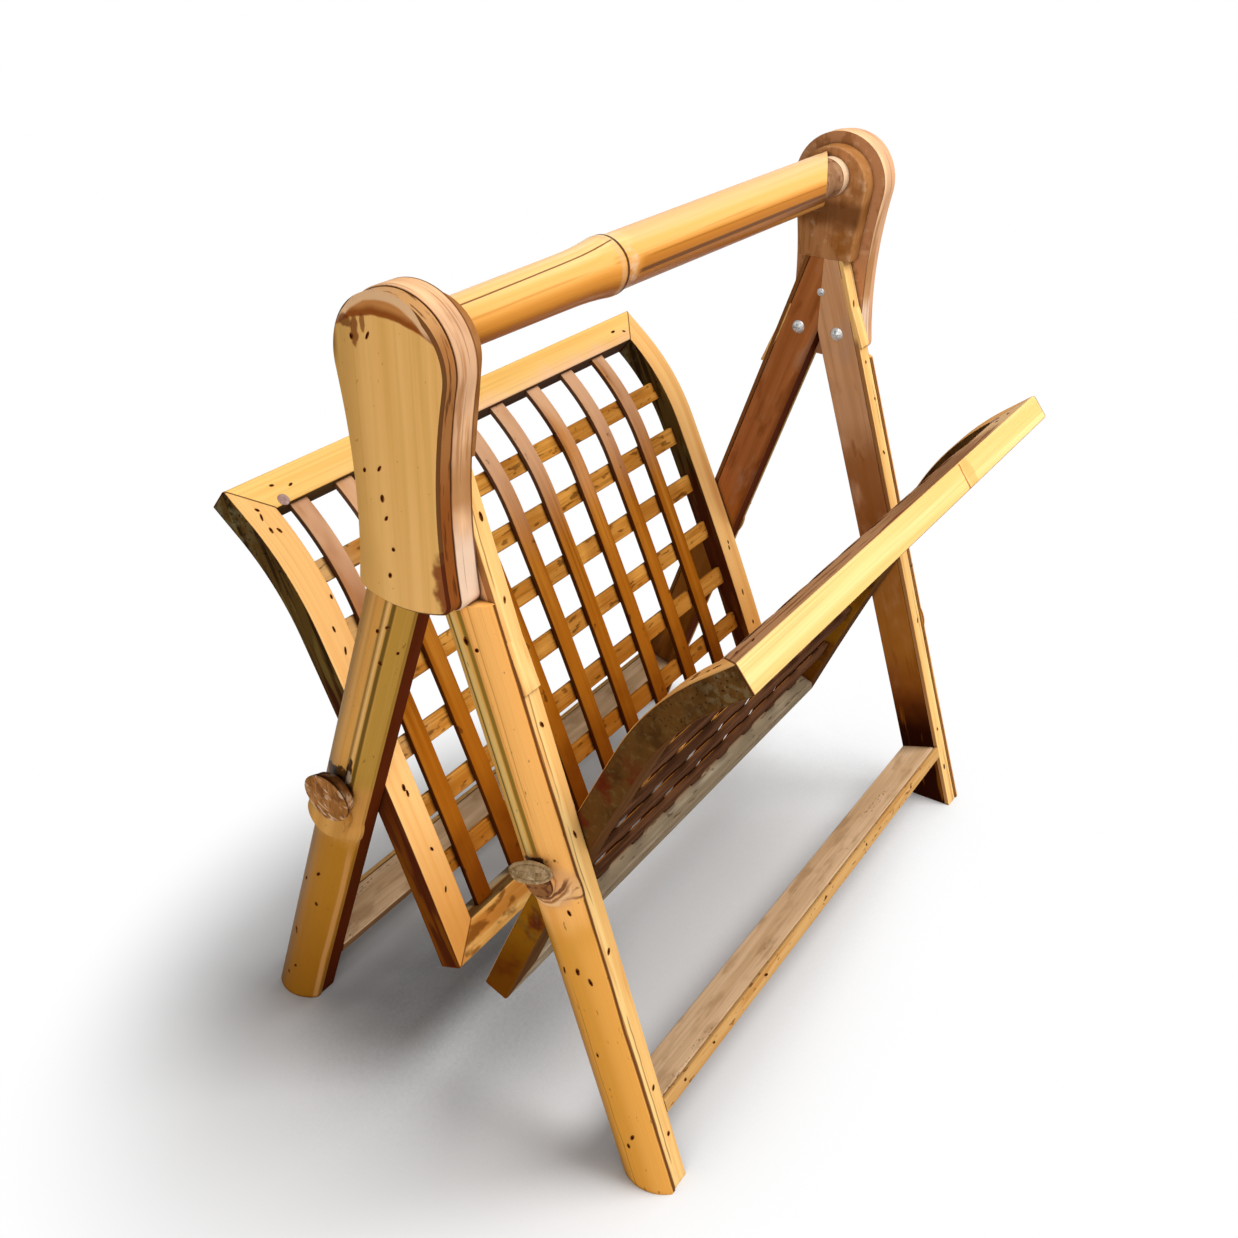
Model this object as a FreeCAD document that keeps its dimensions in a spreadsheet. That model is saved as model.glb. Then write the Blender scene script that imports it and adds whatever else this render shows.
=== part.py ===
import FreeCAD, Part
import math
import os
import Sketcher

# Bamboo magazine rack: two splayed end frames with keyhole cheeks, a pole handle, two
# stretchers and two curved lattice panels. Millimetres and degrees. The handle runs along X,
# the front panel is on the -Y side, Z is up, and the feet stand on Z = 0.

SIZES = [
    ("head_height", 367.0, "floor to the centre of a cheek's round head"),
    ("handle_rise", 5.0, "centre of the head up to the handle's axis"),
    ("head_radius", 26.6, "round head of a cheek"),
    ("waist_half", 21.0, "half the width of a cheek at its waist"),
    ("waist_drop", 55.0, "centre of the head down to the waist"),
    ("corner_drop", 93.0, "centre of the head down to the cheek's lower corners"),
    ("bottom_sag", 4.0, "how far the cheek's lower edge bows below its corners"),
    ("corner_round", 5.0, "rounding of the cheek's lower corners"),
    ("board_thick", 11.5, "backing board of a cheek"),
    ("board_round", 1.5, "rounded outer rim of the backing board"),
    ("plate_thick", 7.5, "split face plate of a cheek at its crown"),
    ("plate_inset", 0.8, "face plate's outline inside the board's outline"),
    ("crown_radius", 220.0, "crown of the face plate across its width"),
    ("plate_chamfer", 1.1, "broken rim of the face plate"),
    ("bevel_drop", 20.8, "centre of the head down to the axis of the bevel pared round a plate's head"),
    ("bevel_width", 7.4, "that bevel at the top of the head"),
    ("bevel_depth", 1.8, "depth of that bevel at the rim"),
    ("inner_face", 165.0, "middle of the rack to the legs' inner faces"),
    ("leg_thick", 10.5, "thickness of a leg's core and of the core block"),
    ("leg_slope", 18.5, "lean of a leg from upright"),
    ("crotch_drop", 80.8, "centre of the head down to where the legs' inner edges meet"),
    ("leg_width", 21.5, "width of a leg's core, square to the leg"),
    ("leg_round", 1.2, "softened long edges of the leg's core"),
    ("strip_thick", 2.4, "edge strips on the legs and stretchers"),
    ("strip_round", 0.7, "softened outward edges of those strips"),
    ("split_width", 25.0, "outer bamboo split of a leg"),
    ("split_thick", 8.0, "outer split at its crest"),
    ("split_side", 2.6, "outer split at its edges"),
    ("node_swell", 1.5, "swelling of the split at its node"),
    ("node_half", 6.0, "half the length of that swelling"),
    ("stub_taper", 3.0, "how much wider the cut face of a branch stub is than its neck"),
    ("stub_rear_left", 11.0, "radius of the cut face of the branch stub above the node"),
    ("stub_front_left", 7.0, "radius of the cut face of the branch stub above the node"),
    ("stub_rear_right", 8.5, "radius of the cut face of the branch stub above the node"),
    ("stub_front_right", 8.0, "radius of the cut face of the branch stub above the node"),
    ("groove_radius", 4.0, "branch groove above the node"),
    ("groove_depth", 1.2, "depth of the branch groove"),
    ("node_rear_left", 138.0, "height of the node along the leg"),
    ("node_front_left", 158.0, "height of the node along the leg"),
    ("node_rear_right", 160.0, "height of the node along the leg"),
    ("node_front_right", 122.0, "height of the node along the leg"),
    ("block_drop", 39.0, "centre of the head down to the underside of the core block"),
    ("block_radius", 20.5, "round head of the core block"),
    ("block_half", 15.5, "half the width of the core block at its underside"),
    ("block_round", 1.5, "softened rim of the core block"),
    ("plug_seat", 8.0, "depth of a handle plug in its core block"),
    ("plug_reach", 42.0, "length of a handle plug inside the pole"),
    ("pole_left_radius", 10.2, "pole at its left end"),
    ("pole_right_radius", 13.1, "pole at its right end"),
    ("pole_neck_radius", 11.0, "pole where its swelling left of the node starts"),
    ("pole_throat_radius", 12.0, "pole just right of its node"),
    ("pole_wall", 2.6, "wall of the pole at its ends"),
    ("pole_node", -58.0, "place of the pole's node along the handle"),
    ("pole_node_radius", 12.9, "pole at its node"),
    ("pole_ridge_half", 1.5, "half the width of the ridge round the node"),
    ("pole_ridge_rise", 0.7, "height of that ridge above the pole on its right"),
    ("pole_web_half", 3.0, "half the thickness of the wall inside the node"),
    ("pole_swell_left", 30.0, "length of the pole's swelling left of the node"),
    ("pole_swell_right", 9.0, "length of the pole's swelling right of the node"),
    ("pole_cut_angle", 26.6, "slant of the cut at the pole's right end, from the pole's axis"),
    ("pole_cut_place", 157.0, "where that cut crosses the pole's axis"),
    ("stretcher_height", 34.5, "floor to the middle of a stretcher, along the leg"),
    ("stretcher_thick", 7.0, "thickness of a stretcher"),
    ("tenon_width", 14.0, "stretcher tenon"),
    ("tenon_depth", 8.0, "stretcher tenon"),
    ("screw_drop", 80.0, "centre of the head down to the leg screws"),
    ("screw_place", 12.0, "middle of the rack to the leg screws"),
    ("screw_head", 3.8, "radius of the leg screws' round heads"),
    ("screw_shank", 2.0, "radius of the leg screws"),
    ("screw_length", 18.0, "leg screws under the head"),
    ("seam_drop", 58.0, "centre of the head down to the small screw in the seam of two legs"),
    ("seam_head", 2.3, "radius of the seam screw's head"),
    ("seam_shank", 1.2, "radius of the seam screw"),
    ("seam_length", 13.0, "seam screw under the head"),
    ("panel_foot_out", 7.3, "middle of the rack to a panel's lower inner edge"),
    ("panel_foot_up", 57.0, "floor to a panel's lower inner edge"),
    ("panel_slope", 21.85, "lean of a panel at its lower rail"),
    ("panel_thick", 13.5, "thickness of the panel's frame"),
    ("frame_width", 17.5, "width of the rails and stiles"),
    ("frame_round", 1.3, "softened edges of the rails and stiles"),
    ("lower_radius", 2300.0, "inner face of a panel, gentle lower curve"),
    ("lower_angle", 4.0, "turn of the lower curve"),
    ("upper_radius", 131.0, "inner face of a panel, tight upper curve"),
    ("upper_angle", 25.3, "turn of the upper curve"),
    ("slat_width", 11.0, "lattice slats"),
    ("slat_thick", 3.0, "lattice slats"),
    ("slat_round", 0.7, "softened edges of the slats"),
    ("slat_tenon", 6.0, "slat ends let into the frame"),
    ("upright_depth", 3.5, "inner face of the frame to the upright slats"),
    ("slat_pitch", 31.3, "spacing of the cross slats along the curve"),
    ("slat_start", 44.8, "lower edge of a panel to its lowest cross slat"),
    ("upright_1", -132.0, "place of an upright along the panel"),
    ("upright_2", -102.5, "place of an upright along the panel"),
    ("upright_3", -73.0, "place of an upright along the panel"),
    ("upright_4", -43.0, "place of an upright along the panel"),
    ("upright_5", -12.8, "place of an upright along the panel"),
    ("upright_6", 16.5, "place of an upright along the panel"),
    ("upright_7", 49.0, "place of an upright along the panel"),
    ("upright_8", 82.0, "place of an upright along the panel"),
    ("upright_9", 113.6, "place of an upright along the panel"),
    ("pin_radius", 2.2, "bamboo pins in the panels' corners and leg crossings"),
    ("pin_spread", 5.0, "distance of a crossing pin from the middle of the crossing"),
    ("pin_in_leg", 6.8, "depth of a crossing pin in the leg"),
    ("pin_inset", 4.0, "corner pin to the edges of its rail and stile"),
    ("joint_gap", 0.1, "room left between pieces that meet"),
]
UPRIGHT_COUNT = 9
CROSS_COUNT = 6

# Proportions of a round-head screw, in head radii.
DOME_RISE = 0.68
RECESS_ARM = 0.55
RECESS_HALF = 0.14
RECESS_FLOOR = 0.28

# Rise of a branch stub above the crest of its split, in radii of its cut face.
STUB_RISE = 0.5

doc = FreeCAD.newDocument("MagazineRack")
sheet = doc.addObject("Spreadsheet::Sheet", "Sizes")
for row, (alias, value, meaning) in enumerate(SIZES, 1):
    sheet.set("A%d" % row, meaning)
    sheet.set("B%d" % row, str(value))
    sheet.setAlias("B%d" % row, alias)
doc.recompute()

nodes = []


def size(alias):
    """Reference to one driving size, for use in an expression."""
    return "Sizes.%s" % alias


def amount(owner, text):
    """Present value of an expression, for a sketch's starting geometry."""
    result = owner.evalExpression(text)
    return float(getattr(result, "Value", result))


def keep(thing, label, solids=1):
    """Mark an object as a finished piece of the rack."""
    thing.Label = label
    nodes.append((thing, label, solids))
    return thing


def new_body(name):
    """Empty body for one piece or one cutting tool."""
    return doc.addObject("PartDesign::Body", name)


def new_sketch(body, name, role, offset="0"):
    """Sketch on one of the body's own origin planes, moved along that plane's normal."""
    sketch = body.newObject("Sketcher::SketchObject", name)
    plane = [item for item in body.Origin.OriginFeatures if item.Role == role][0]
    sketch.AttachmentSupport = (plane, [""])
    sketch.MapMode = "FlatFace"
    sketch.setExpression("AttachmentOffset.Base.z", offset)
    doc.recompute()
    return sketch


def arc_through(start, end, centre, leftward):
    """Arc from start to end about a centre; leftward arcs run counter-clockwise."""
    first, last = (start, end) if leftward else (end, start)
    begin = math.atan2(first.y - centre.y, first.x - centre.x)
    finish = math.atan2(last.y - centre.y, last.x - centre.x)
    if finish <= begin:
        finish += 2 * math.pi
    circle = Part.Circle(centre, FreeCAD.Vector(0, 0, 1), (start - centre).Length)
    return Part.ArcOfCircle(circle, begin, finish)


def fix_point(sketch, geometry, position, u_text, v_text):
    """Hold one sketch point at two expressions."""
    for kind, text in (("DistanceX", u_text), ("DistanceY", v_text)):
        rule = Sketcher.Constraint(kind, -1, 1, geometry, position, amount(sketch, text))
        index = sketch.addConstraint(rule)
        sketch.setExpression("Constraints[%d]" % index, text)


def trace(sketch, corners, arcs=None, closed=True):
    """Draw a line of corners, each held by two expressions.

    arcs maps the number of a side to (centre u, centre v, radius, leftward).
    """
    arcs = arcs or {}
    points = [FreeCAD.Vector(amount(sketch, u), amount(sketch, v), 0) for u, v in corners]
    first = sketch.GeometryCount
    sides = len(corners) if closed else len(corners) - 1
    starts = {}
    ends = {}
    for side in range(sides):
        begin = points[side]
        finish = points[(side + 1) % len(points)]
        if side in arcs:
            centre_u, centre_v, radius, leftward = arcs[side]
            centre = FreeCAD.Vector(amount(sketch, centre_u), amount(sketch, centre_v), 0)
            sketch.addGeometry(arc_through(begin, finish, centre, leftward))
        else:
            leftward = True
            sketch.addGeometry(Part.LineSegment(begin, finish))
        starts[side] = 1 if leftward else 2
        ends[side] = 2 if leftward else 1
    for side in range(sides if closed else sides - 1):
        following = (side + 1) % sides
        sketch.addConstraint(Sketcher.Constraint("Coincident", first + side, ends[side],
                                                 first + following, starts[following]))
    for side in range(sides):
        fix_point(sketch, first + side, starts[side], *corners[side])
        if side in arcs:
            radius = arcs[side][2]
            rule = Sketcher.Constraint("Radius", first + side, amount(sketch, radius))
            index = sketch.addConstraint(rule)
            sketch.setExpression("Constraints[%d]" % index, radius)
    if not closed:
        fix_point(sketch, first + sides - 1, ends[sides - 1], *corners[-1])


def draw_circle(sketch, u_text, v_text, radius):
    """Circle held by its centre and radius."""
    centre = FreeCAD.Vector(amount(sketch, u_text), amount(sketch, v_text), 0)
    circle = Part.Circle(centre, FreeCAD.Vector(0, 0, 1), amount(sketch, radius))
    index = sketch.addGeometry(circle)
    fix_point(sketch, index, 3, u_text, v_text)
    rule = sketch.addConstraint(Sketcher.Constraint("Radius", index, amount(sketch, radius)))
    sketch.setExpression("Constraints[%d]" % rule, radius)


def rounded_rectangle(sketch, left, right, low, high, radius):
    """Rectangle between four expressions, with rounded corners."""
    inner = {"left": "%s + %s" % (left, radius), "right": "%s - (%s)" % (right, radius),
             "low": "%s + %s" % (low, radius), "high": "%s - (%s)" % (high, radius)}
    corners = [(inner["left"], low), (inner["right"], low), (right, inner["low"]), (right, inner["high"]),
               (inner["right"], high), (inner["left"], high), (left, inner["high"]), (left, inner["low"])]
    arcs = {1: (inner["right"], inner["low"], radius, True), 3: (inner["right"], inner["high"], radius, True),
            5: (inner["left"], inner["high"], radius, True), 7: (inner["left"], inner["low"], radius, True)}
    trace(sketch, corners, arcs)


def extrude(body, kind, sketch, length, backward=False):
    """Pad or Pocket of a sketch by a length expression."""
    feature = body.newObject("PartDesign::" + kind, body.Name + kind + "Step")
    feature.Profile = sketch
    feature.Reversed = backward
    feature.setExpression("Length", length)
    body.Tip = feature
    doc.recompute()
    return feature


def soften(body, kind, edges, width):
    """Fillet or Chamfer of the body's present shape along named edges."""
    previous = body.Tip
    feature = body.newObject("PartDesign::" + kind, body.Name + kind)
    feature.Base = (previous, edges)
    feature.setExpression("Radius" if kind == "Fillet" else "Size", width)
    body.Tip = feature
    doc.recompute()
    return feature


def edges_where(body, test):
    """Names of the body's edges that pass a test."""
    return ["Edge%d" % n for n, edge in enumerate(body.Tip.Shape.Edges, 1) if test(edge)]


def runs_along(edge, direction):
    """True where a straight edge is parallel to a direction."""
    if edge.Curve.TypeId != "Part::GeomLine":
        return False
    return abs(abs(edge.Curve.Direction.dot(direction)) - 1) < 1e-6


def lies_at(edge, axis, level):
    """True where every sampled point of an edge lies in one plane square to an axis."""
    samples = edge.discretize(5)
    return all(abs(getattr(point, axis) - level) < 1e-4 for point in samples)


def combine(kind, name, base, tool):
    """Part::Cut or Part::Common of two objects."""
    result = doc.addObject("Part::" + kind, name)
    result.Base = base
    result.Tool = tool
    doc.recompute()
    return result


def group(name, members):
    """Several separate solids held together as one object."""
    result = doc.addObject("Part::Compound", name)
    result.Links = members
    doc.recompute()
    return result


def block(name, length, width, height, corner):
    """Plain box from its corner."""
    box = doc.addObject("Part::Box", name)
    for side, text in (("Length", length), ("Width", width), ("Height", height)):
        box.setExpression(side, text)
    box.setExpression("Placement", "placement(vector(%s; %s; %s); rotation(0; 0; 0))" % corner)
    return box


def rod(name, radius, length, start):
    """Cylinder along X from its start point."""
    cylinder = doc.addObject("Part::Cylinder", name)
    cylinder.setExpression("Radius", radius)
    cylinder.setExpression("Height", length)
    cylinder.setExpression("Placement", "placement(vector(%s; %s; %s); rotation(0; 90; 0))" % start)
    return cylinder


def set_place(thing, x, y, z, roll, turned):
    """Place a piece by expressions; a turned piece is swung half a turn about the upright axis."""
    if turned:
        spot = "vector(-(%s); -(%s); %s); rotation(180; 0; %s)" % (x, y, z, roll)
    else:
        spot = "vector(%s; %s; %s); rotation(0; 0; %s)" % (x, y, z, roll)
    thing.setExpression("Placement", "placement(%s)" % spot)


GAP = size("joint_gap")
INNER = size("inner_face")
HEAD = size("head_height")
HANDLE = "(%s + %s)" % (HEAD, size("handle_rise"))
BLOCK_BOTTOM = "(%s - %s)" % (HEAD, size("block_drop"))
BOARD_FACE = "(%s + %s)" % (INNER, size("leg_thick"))
SLOPE = size("leg_slope")
LEG_FOOT = "(tan(%s) * (%s - %s))" % (SLOPE, HEAD, size("crotch_drop"))
LEAN = size("panel_slope")
FRAME = size("frame_width")
PANEL_HALF = "(%s - 2 * %s)" % (INNER, GAP)

# Keyhole outline of the cheeks: a round head, two long waist curves and a bowed lower edge.
WAIST_RADIUS = "((%s^2 + %s^2 - %s^2) / (2 * (%s - %s)))" % (
    size("waist_drop"), size("waist_half"), size("head_radius"), size("head_radius"), size("waist_half"))


def draw_keyhole(sketch, inset):
    """Keyhole outline, drawn inside the cheek's full outline by an inset."""
    reach = "(%s + %s)" % (size("waist_half"), WAIST_RADIUS)
    span = "(%s + %s)" % (size("head_radius"), WAIST_RADIUS)
    head = "(%s - (%s))" % (size("head_radius"), inset)
    waist = "(%s + %s)" % (WAIST_RADIUS, inset)
    waist_level = "(%s - %s)" % (HEAD, size("waist_drop"))
    shoulder_out = "(%s * %s / %s)" % (head, reach, span)
    shoulder_up = "(%s - %s * %s / %s)" % (HEAD, head, size("waist_drop"), span)
    fall = "(%s - (%s) - %s)" % (size("corner_drop"), inset, size("waist_drop"))
    corner_out = "(%s - sqrt(%s^2 - %s^2))" % (reach, waist, fall)
    corner_up = "(%s - %s + %s)" % (HEAD, size("corner_drop"), inset)
    sag = size("bottom_sag")
    bow = "((%s^2 + %s^2) / (2 * %s))" % (corner_out, sag, sag)
    corners = [(shoulder_out, shoulder_up), ("-" + shoulder_out, shoulder_up),
               ("-" + corner_out, corner_up), (corner_out, corner_up)]
    arcs = {0: ("0", HEAD, head, True),
            1: ("-" + reach, waist_level, waist, False),
            2: ("0", "%s - %s + %s" % (corner_up, sag, bow), bow, True),
            3: (reach, waist_level, waist, False)}
    trace(sketch, corners, arcs)


def round_lower_corners(body):
    """Round the two lower corners of a keyhole pad."""
    along_x = FreeCAD.Vector(1, 0, 0)
    waist_level = sheet.head_height - sheet.waist_drop
    corners = edges_where(body, lambda e: runs_along(e, along_x) and e.CenterOfMass.z < waist_level)
    soften(body, "Fillet", corners, size("corner_round"))


def make_board(name):
    """Backing board of a cheek, with a rounded outer rim."""
    body = new_body(name)
    sketch = new_sketch(body, name + "Outline", "YZ_Plane", "%s + %s" % (BOARD_FACE, GAP))
    draw_keyhole(sketch, "0")
    extrude(body, "Pad", sketch, "%s - %s" % (size("board_thick"), GAP))
    round_lower_corners(body)
    outer = sheet.inner_face + sheet.leg_thick + sheet.board_thick
    soften(body, "Fillet", edges_where(body, lambda e: lies_at(e, "x", outer)), size("board_round"))
    return body


def make_plate(name):
    """Split face plate of a cheek: a crowned keyhole with a broken rim and a bevel pared round its head."""
    body = new_body(name)
    back = "(%s + %s + %s)" % (BOARD_FACE, size("board_thick"), GAP)
    sketch = new_sketch(body, name + "Outline", "YZ_Plane", back)
    draw_keyhole(sketch, size("plate_inset"))
    extrude(body, "Pad", sketch, size("plate_thick"))
    round_lower_corners(body)
    crest = "(%s + %s)" % (back, size("plate_thick"))
    radius = size("crown_radius")
    half = "(%s * 1.5)" % size("head_radius")
    edge = "(%s - %s + sqrt(%s^2 - %s^2))" % (crest, radius, radius, half)
    clear = "(%s + %s)" % (crest, size("plate_thick"))
    crown = new_sketch(body, name + "Crown", "XY_Plane")
    corners = [(edge, "-" + half), (edge, half), (clear, half), (clear, "-" + half)]
    trace(crown, corners, {0: ("%s - %s" % (crest, radius), "0", radius, True)})
    extrude(body, "Pocket", crown, "%s * 2" % HEAD, backward=True)
    face = [f for f in body.Tip.Shape.Faces if f.Surface.TypeId == "Part::GeomCylinder"
            and abs(f.Surface.Radius - sheet.crown_radius) < 1e-6][0]
    rim = edges_where(body, lambda e: any(e.isSame(other) for other in face.Edges))
    soften(body, "Chamfer", rim, size("plate_chamfer"))
    bevel = new_sketch(body, name + "Bevel", "XZ_Plane")
    bevel.setExpression("AttachmentOffset.Base.y", "%s - %s" % (HEAD, size("bevel_drop")))
    doc.recompute()
    top = "(%s - %s + %s)" % (size("head_radius"), size("plate_inset"), size("bevel_drop"))
    wide = size("bevel_width")
    deep = size("bevel_depth")
    front = "(%s + %s)" % (crest, deep)
    beyond = "(%s + %s)" % (top, wide)
    trace(bevel, [(front, "%s - 2 * %s" % (top, wide)), (front, beyond),
                  ("%s - 2 * %s" % (crest, deep), beyond)])
    pared = body.newObject("PartDesign::Groove", name + "Pared")
    pared.Profile = bevel
    pared.ReferenceAxis = (bevel, ["H_Axis"])
    pared.Midplane = True
    pared.Angle = 180
    body.Tip = pared
    doc.recompute()
    return body


def make_block(name, plug_radius):
    """Core block: round head, straight sides, a blind seat for the handle plug."""
    body = new_body(name)
    sketch = new_sketch(body, name + "Outline", "YZ_Plane", INNER)
    half = size("block_half")
    drop = "(%s - %s)" % (BLOCK_BOTTOM, HEAD)
    radius = size("block_radius")
    square = "(%s^2 + %s^2)" % (half, drop)
    near = "(%s^2 / %s)" % (radius, square)
    across = "(%s / %s * sqrt(%s - %s^2))" % (radius, square, square, radius)
    touch_out = "(%s * %s - %s * %s)" % (near, half, across, drop)
    touch_up = "(%s + %s * %s + %s * %s)" % (HEAD, near, drop, across, half)
    corners = [(half, BLOCK_BOTTOM), (touch_out, touch_up),
               ("-" + touch_out, touch_up), ("-" + half, BLOCK_BOTTOM)]
    trace(sketch, corners, {1: ("0", HEAD, radius, True)})
    extrude(body, "Pad", sketch, size("leg_thick"))
    underside = sheet.head_height - sheet.block_drop
    rim = edges_where(body, lambda e: lies_at(e, "x", sheet.inner_face) and not lies_at(e, "z", underside))
    soften(body, "Fillet", rim, size("block_round"))
    seat = new_sketch(body, name + "Seat", "YZ_Plane", INNER)
    draw_circle(seat, "0", HANDLE, "%s + %s" % (plug_radius, GAP))
    extrude(body, "Pocket", seat, size("plug_seat"), backward=True)
    return body


# The legs lean in the YZ plane. A rear leg is drawn at the right end, on the +Y side (side 1),
# and a front leg on the -Y side (side -1); the left end's legs are the same, swung half a turn.
CORE_ACROSS = "(%s / cos(%s))" % (size("leg_width"), SLOPE)
STRIP_ACROSS = "(%s / cos(%s))" % (size("strip_thick"), SLOPE)
GAP_ACROSS = "(%s / cos(%s))" % (GAP, SLOPE)
LEG_TOP = "(%s - %s)" % (BLOCK_BOTTOM, GAP)
LEG_MIDDLE = "(%s + (%s + %s + %s) / 2)" % (LEG_FOOT, CORE_ACROSS, STRIP_ACROSS, GAP_ACROSS)


def make_leg_core(name, side):
    """Inner slat of a leg: flat foot, mitred against the other leg, butted under the core block."""
    body = new_body(name)
    sketch = new_sketch(body, name + "Outline", "YZ_Plane", INNER)
    inner = LEG_FOOT
    outer = "(%s + %s)" % (inner, CORE_ACROSS)
    seam = "(%s / 2)" % GAP
    fall = "tan(%s)" % SLOPE
    corners = [(inner, "0"), (outer, "0"), ("(%s - %s * %s)" % (outer, fall, LEG_TOP), LEG_TOP),
               (seam, LEG_TOP), (seam, "(%s - %s) / %s" % (inner, seam, fall))]
    trace(sketch, [("%d * %s" % (side, u), v) for u, v in corners])
    extrude(body, "Pad", sketch, size("leg_thick"))
    lean = math.radians(sheet.leg_slope)
    axis = FreeCAD.Vector(0, -side * math.sin(lean), math.cos(lean))
    soften(body, "Fillet", edges_where(body, lambda e: runs_along(e, axis)
                                       and lies_at(e, "x", sheet.inner_face)), size("leg_round"))
    return body


def make_leg_strip(name, side):
    """Thin strip along the outward edge of a leg's core."""
    body = new_body(name)
    sketch = new_sketch(body, name + "Outline", "YZ_Plane", INNER)
    near = "(%s + %s + %s)" % (LEG_FOOT, CORE_ACROSS, GAP_ACROSS)
    far = "(%s + %s)" % (near, STRIP_ACROSS)
    rise = "(tan(%s) * %s)" % (SLOPE, LEG_TOP)
    corners = [(near, "0"), (far, "0"), ("(%s - %s)" % (far, rise), LEG_TOP),
               ("(%s - %s)" % (near, rise), LEG_TOP)]
    trace(sketch, [("%d * %s" % (side, u), v) for u, v in corners])
    extrude(body, "Pad", sketch, size("leg_thick"))
    lean = math.radians(sheet.leg_slope)
    axis = FreeCAD.Vector(0, -side * math.sin(lean), math.cos(lean))
    outward = amount(sketch, far)

    def at_floor(edge):
        """Distance from the rack's middle at which an edge, carried on, meets the floor."""
        point = edge.valueAt(edge.FirstParameter)
        return side * point.y + point.z * math.tan(lean)

    soften(body, "Fillet", edges_where(body, lambda e: runs_along(e, axis)
                                       and abs(at_floor(e) - outward) < 1e-3), size("strip_round"))
    return body


def draw_split_section(sketch, grow):
    """D-shaped section of a leg's outer split, flat side towards the core."""
    half = "(%s / 2 + %s * 0.6)" % (size("split_width"), grow)
    crest = "(%s + %s)" % (size("split_thick"), grow)
    edge = size("split_side")
    rise = "(%s - %s)" % (crest, edge)
    radius = "((%s^2 + %s^2) / (2 * %s))" % (half, rise, rise)
    corners = [(GAP, "-" + half), (edge, "-" + half), (edge, half), (GAP, half)]
    trace(sketch, corners, {1: ("%s - %s" % (crest, radius), "0", radius, True)})


def make_leg_split(name, side, node, face, cope):
    """Outer bamboo split of a leg, with a node, a flared branch stub cut off above it, and a groove."""
    body = new_body(name + "Whole")
    below = "-(%s)" % size("split_width")
    section = new_sketch(body, name + "Section", "XY_Plane", below)
    draw_split_section(section, "0")
    extrude(body, "Pad", section, HANDLE)
    swell_half = size("node_half")
    rings = []
    for step, grow in ((-1, "0"), (0, size("node_swell")), (1, "0")):
        ring = new_sketch(body, name + "Ring", "XY_Plane", "%s + %d * %s" % (node, step, swell_half))
        draw_split_section(ring, grow)
        rings.append(ring)
    loft = body.newObject("PartDesign::AdditiveLoft", name + "Node")
    loft.Profile = rings[0]
    loft.Sections = rings[1:]
    body.Tip = loft
    doc.recompute()
    neck = "(%s - %s)" % (face, size("stub_taper"))
    cut = "%s + %s * %s" % (size("split_thick"), face, STUB_RISE)
    stubs = []
    for level, radius in ((GAP, neck), (cut, face)):
        stub = new_sketch(body, name + "Stub", "YZ_Plane", level)
        draw_circle(stub, "0", "%s + %s" % (node, radius), radius)
        stubs.append(stub)
    branch = body.newObject("PartDesign::AdditiveLoft", name + "Branch")
    branch.Profile = stubs[0]
    branch.Sections = stubs[1:]
    body.Tip = branch
    doc.recompute()
    groove = new_sketch(body, name + "Groove", "XY_Plane", "%s + 2 * %s" % (node, face))
    centre = "%s + %s - %s" % (size("split_thick"), size("groove_radius"), size("groove_depth"))
    draw_circle(groove, centre, "0", size("groove_radius"))
    extrude(body, "Pocket", groove, HANDLE, backward=True)
    set_place(body, BOARD_FACE, "%d * %s" % (side, LEG_MIDDLE), "0", "%d * %s" % (side, SLOPE), False)
    start = "0" if side == 1 else "-%s" % HANDLE
    room = block(name + "Room", HANDLE, HANDLE, "%s - %s" % (HEAD, size("corner_drop")),
                 (INNER, start, "0"))
    standing = combine("Common", name + "Standing", body, room)
    return combine("Cut", name, standing, cope)


def make_screw(name, head, shank, length):
    """Round-head screw along +X with a crossed recess, its head's flat at X = 0."""
    body = new_body(name)
    sketch = new_sketch(body, name + "Profile", "XY_Plane")
    rise = "(%s * %s)" % (head, DOME_RISE)
    dome = "((%s^2 + %s^2) / (2 * %s))" % (head, rise, rise)
    corners = [("-" + rise, "0"), (length, "0"), ("%s - %s * 2" % (length, shank), shank),
               ("-" + GAP, shank), ("-" + GAP, head)]
    trace(sketch, corners, {4: ("%s - %s" % (dome, rise), "0", dome, True)})
    turn = body.newObject("PartDesign::Revolution", name + "Turn")
    turn.Profile = sketch
    turn.ReferenceAxis = (sketch, ["H_Axis"])
    turn.Angle = 360
    body.Tip = turn
    doc.recompute()
    slot = new_sketch(body, name + "Recess", "YZ_Plane", "-" + head)
    arm = "(%s * %s)" % (head, RECESS_ARM)
    thin = "(%s * %s)" % (head, RECESS_HALF)
    quarter = [(arm, thin), (thin, thin), (thin, arm)]
    corners = list(quarter)
    for _ in range(3):
        quarter = [("-" + v, u) if not v.startswith("-") else (v[1:], u) for u, v in quarter]
        corners += quarter
    trace(slot, corners)
    extrude(body, "Pocket", slot, "%s * (1 - %s)" % (head, RECESS_FLOOR), backward=True)
    return body


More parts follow.
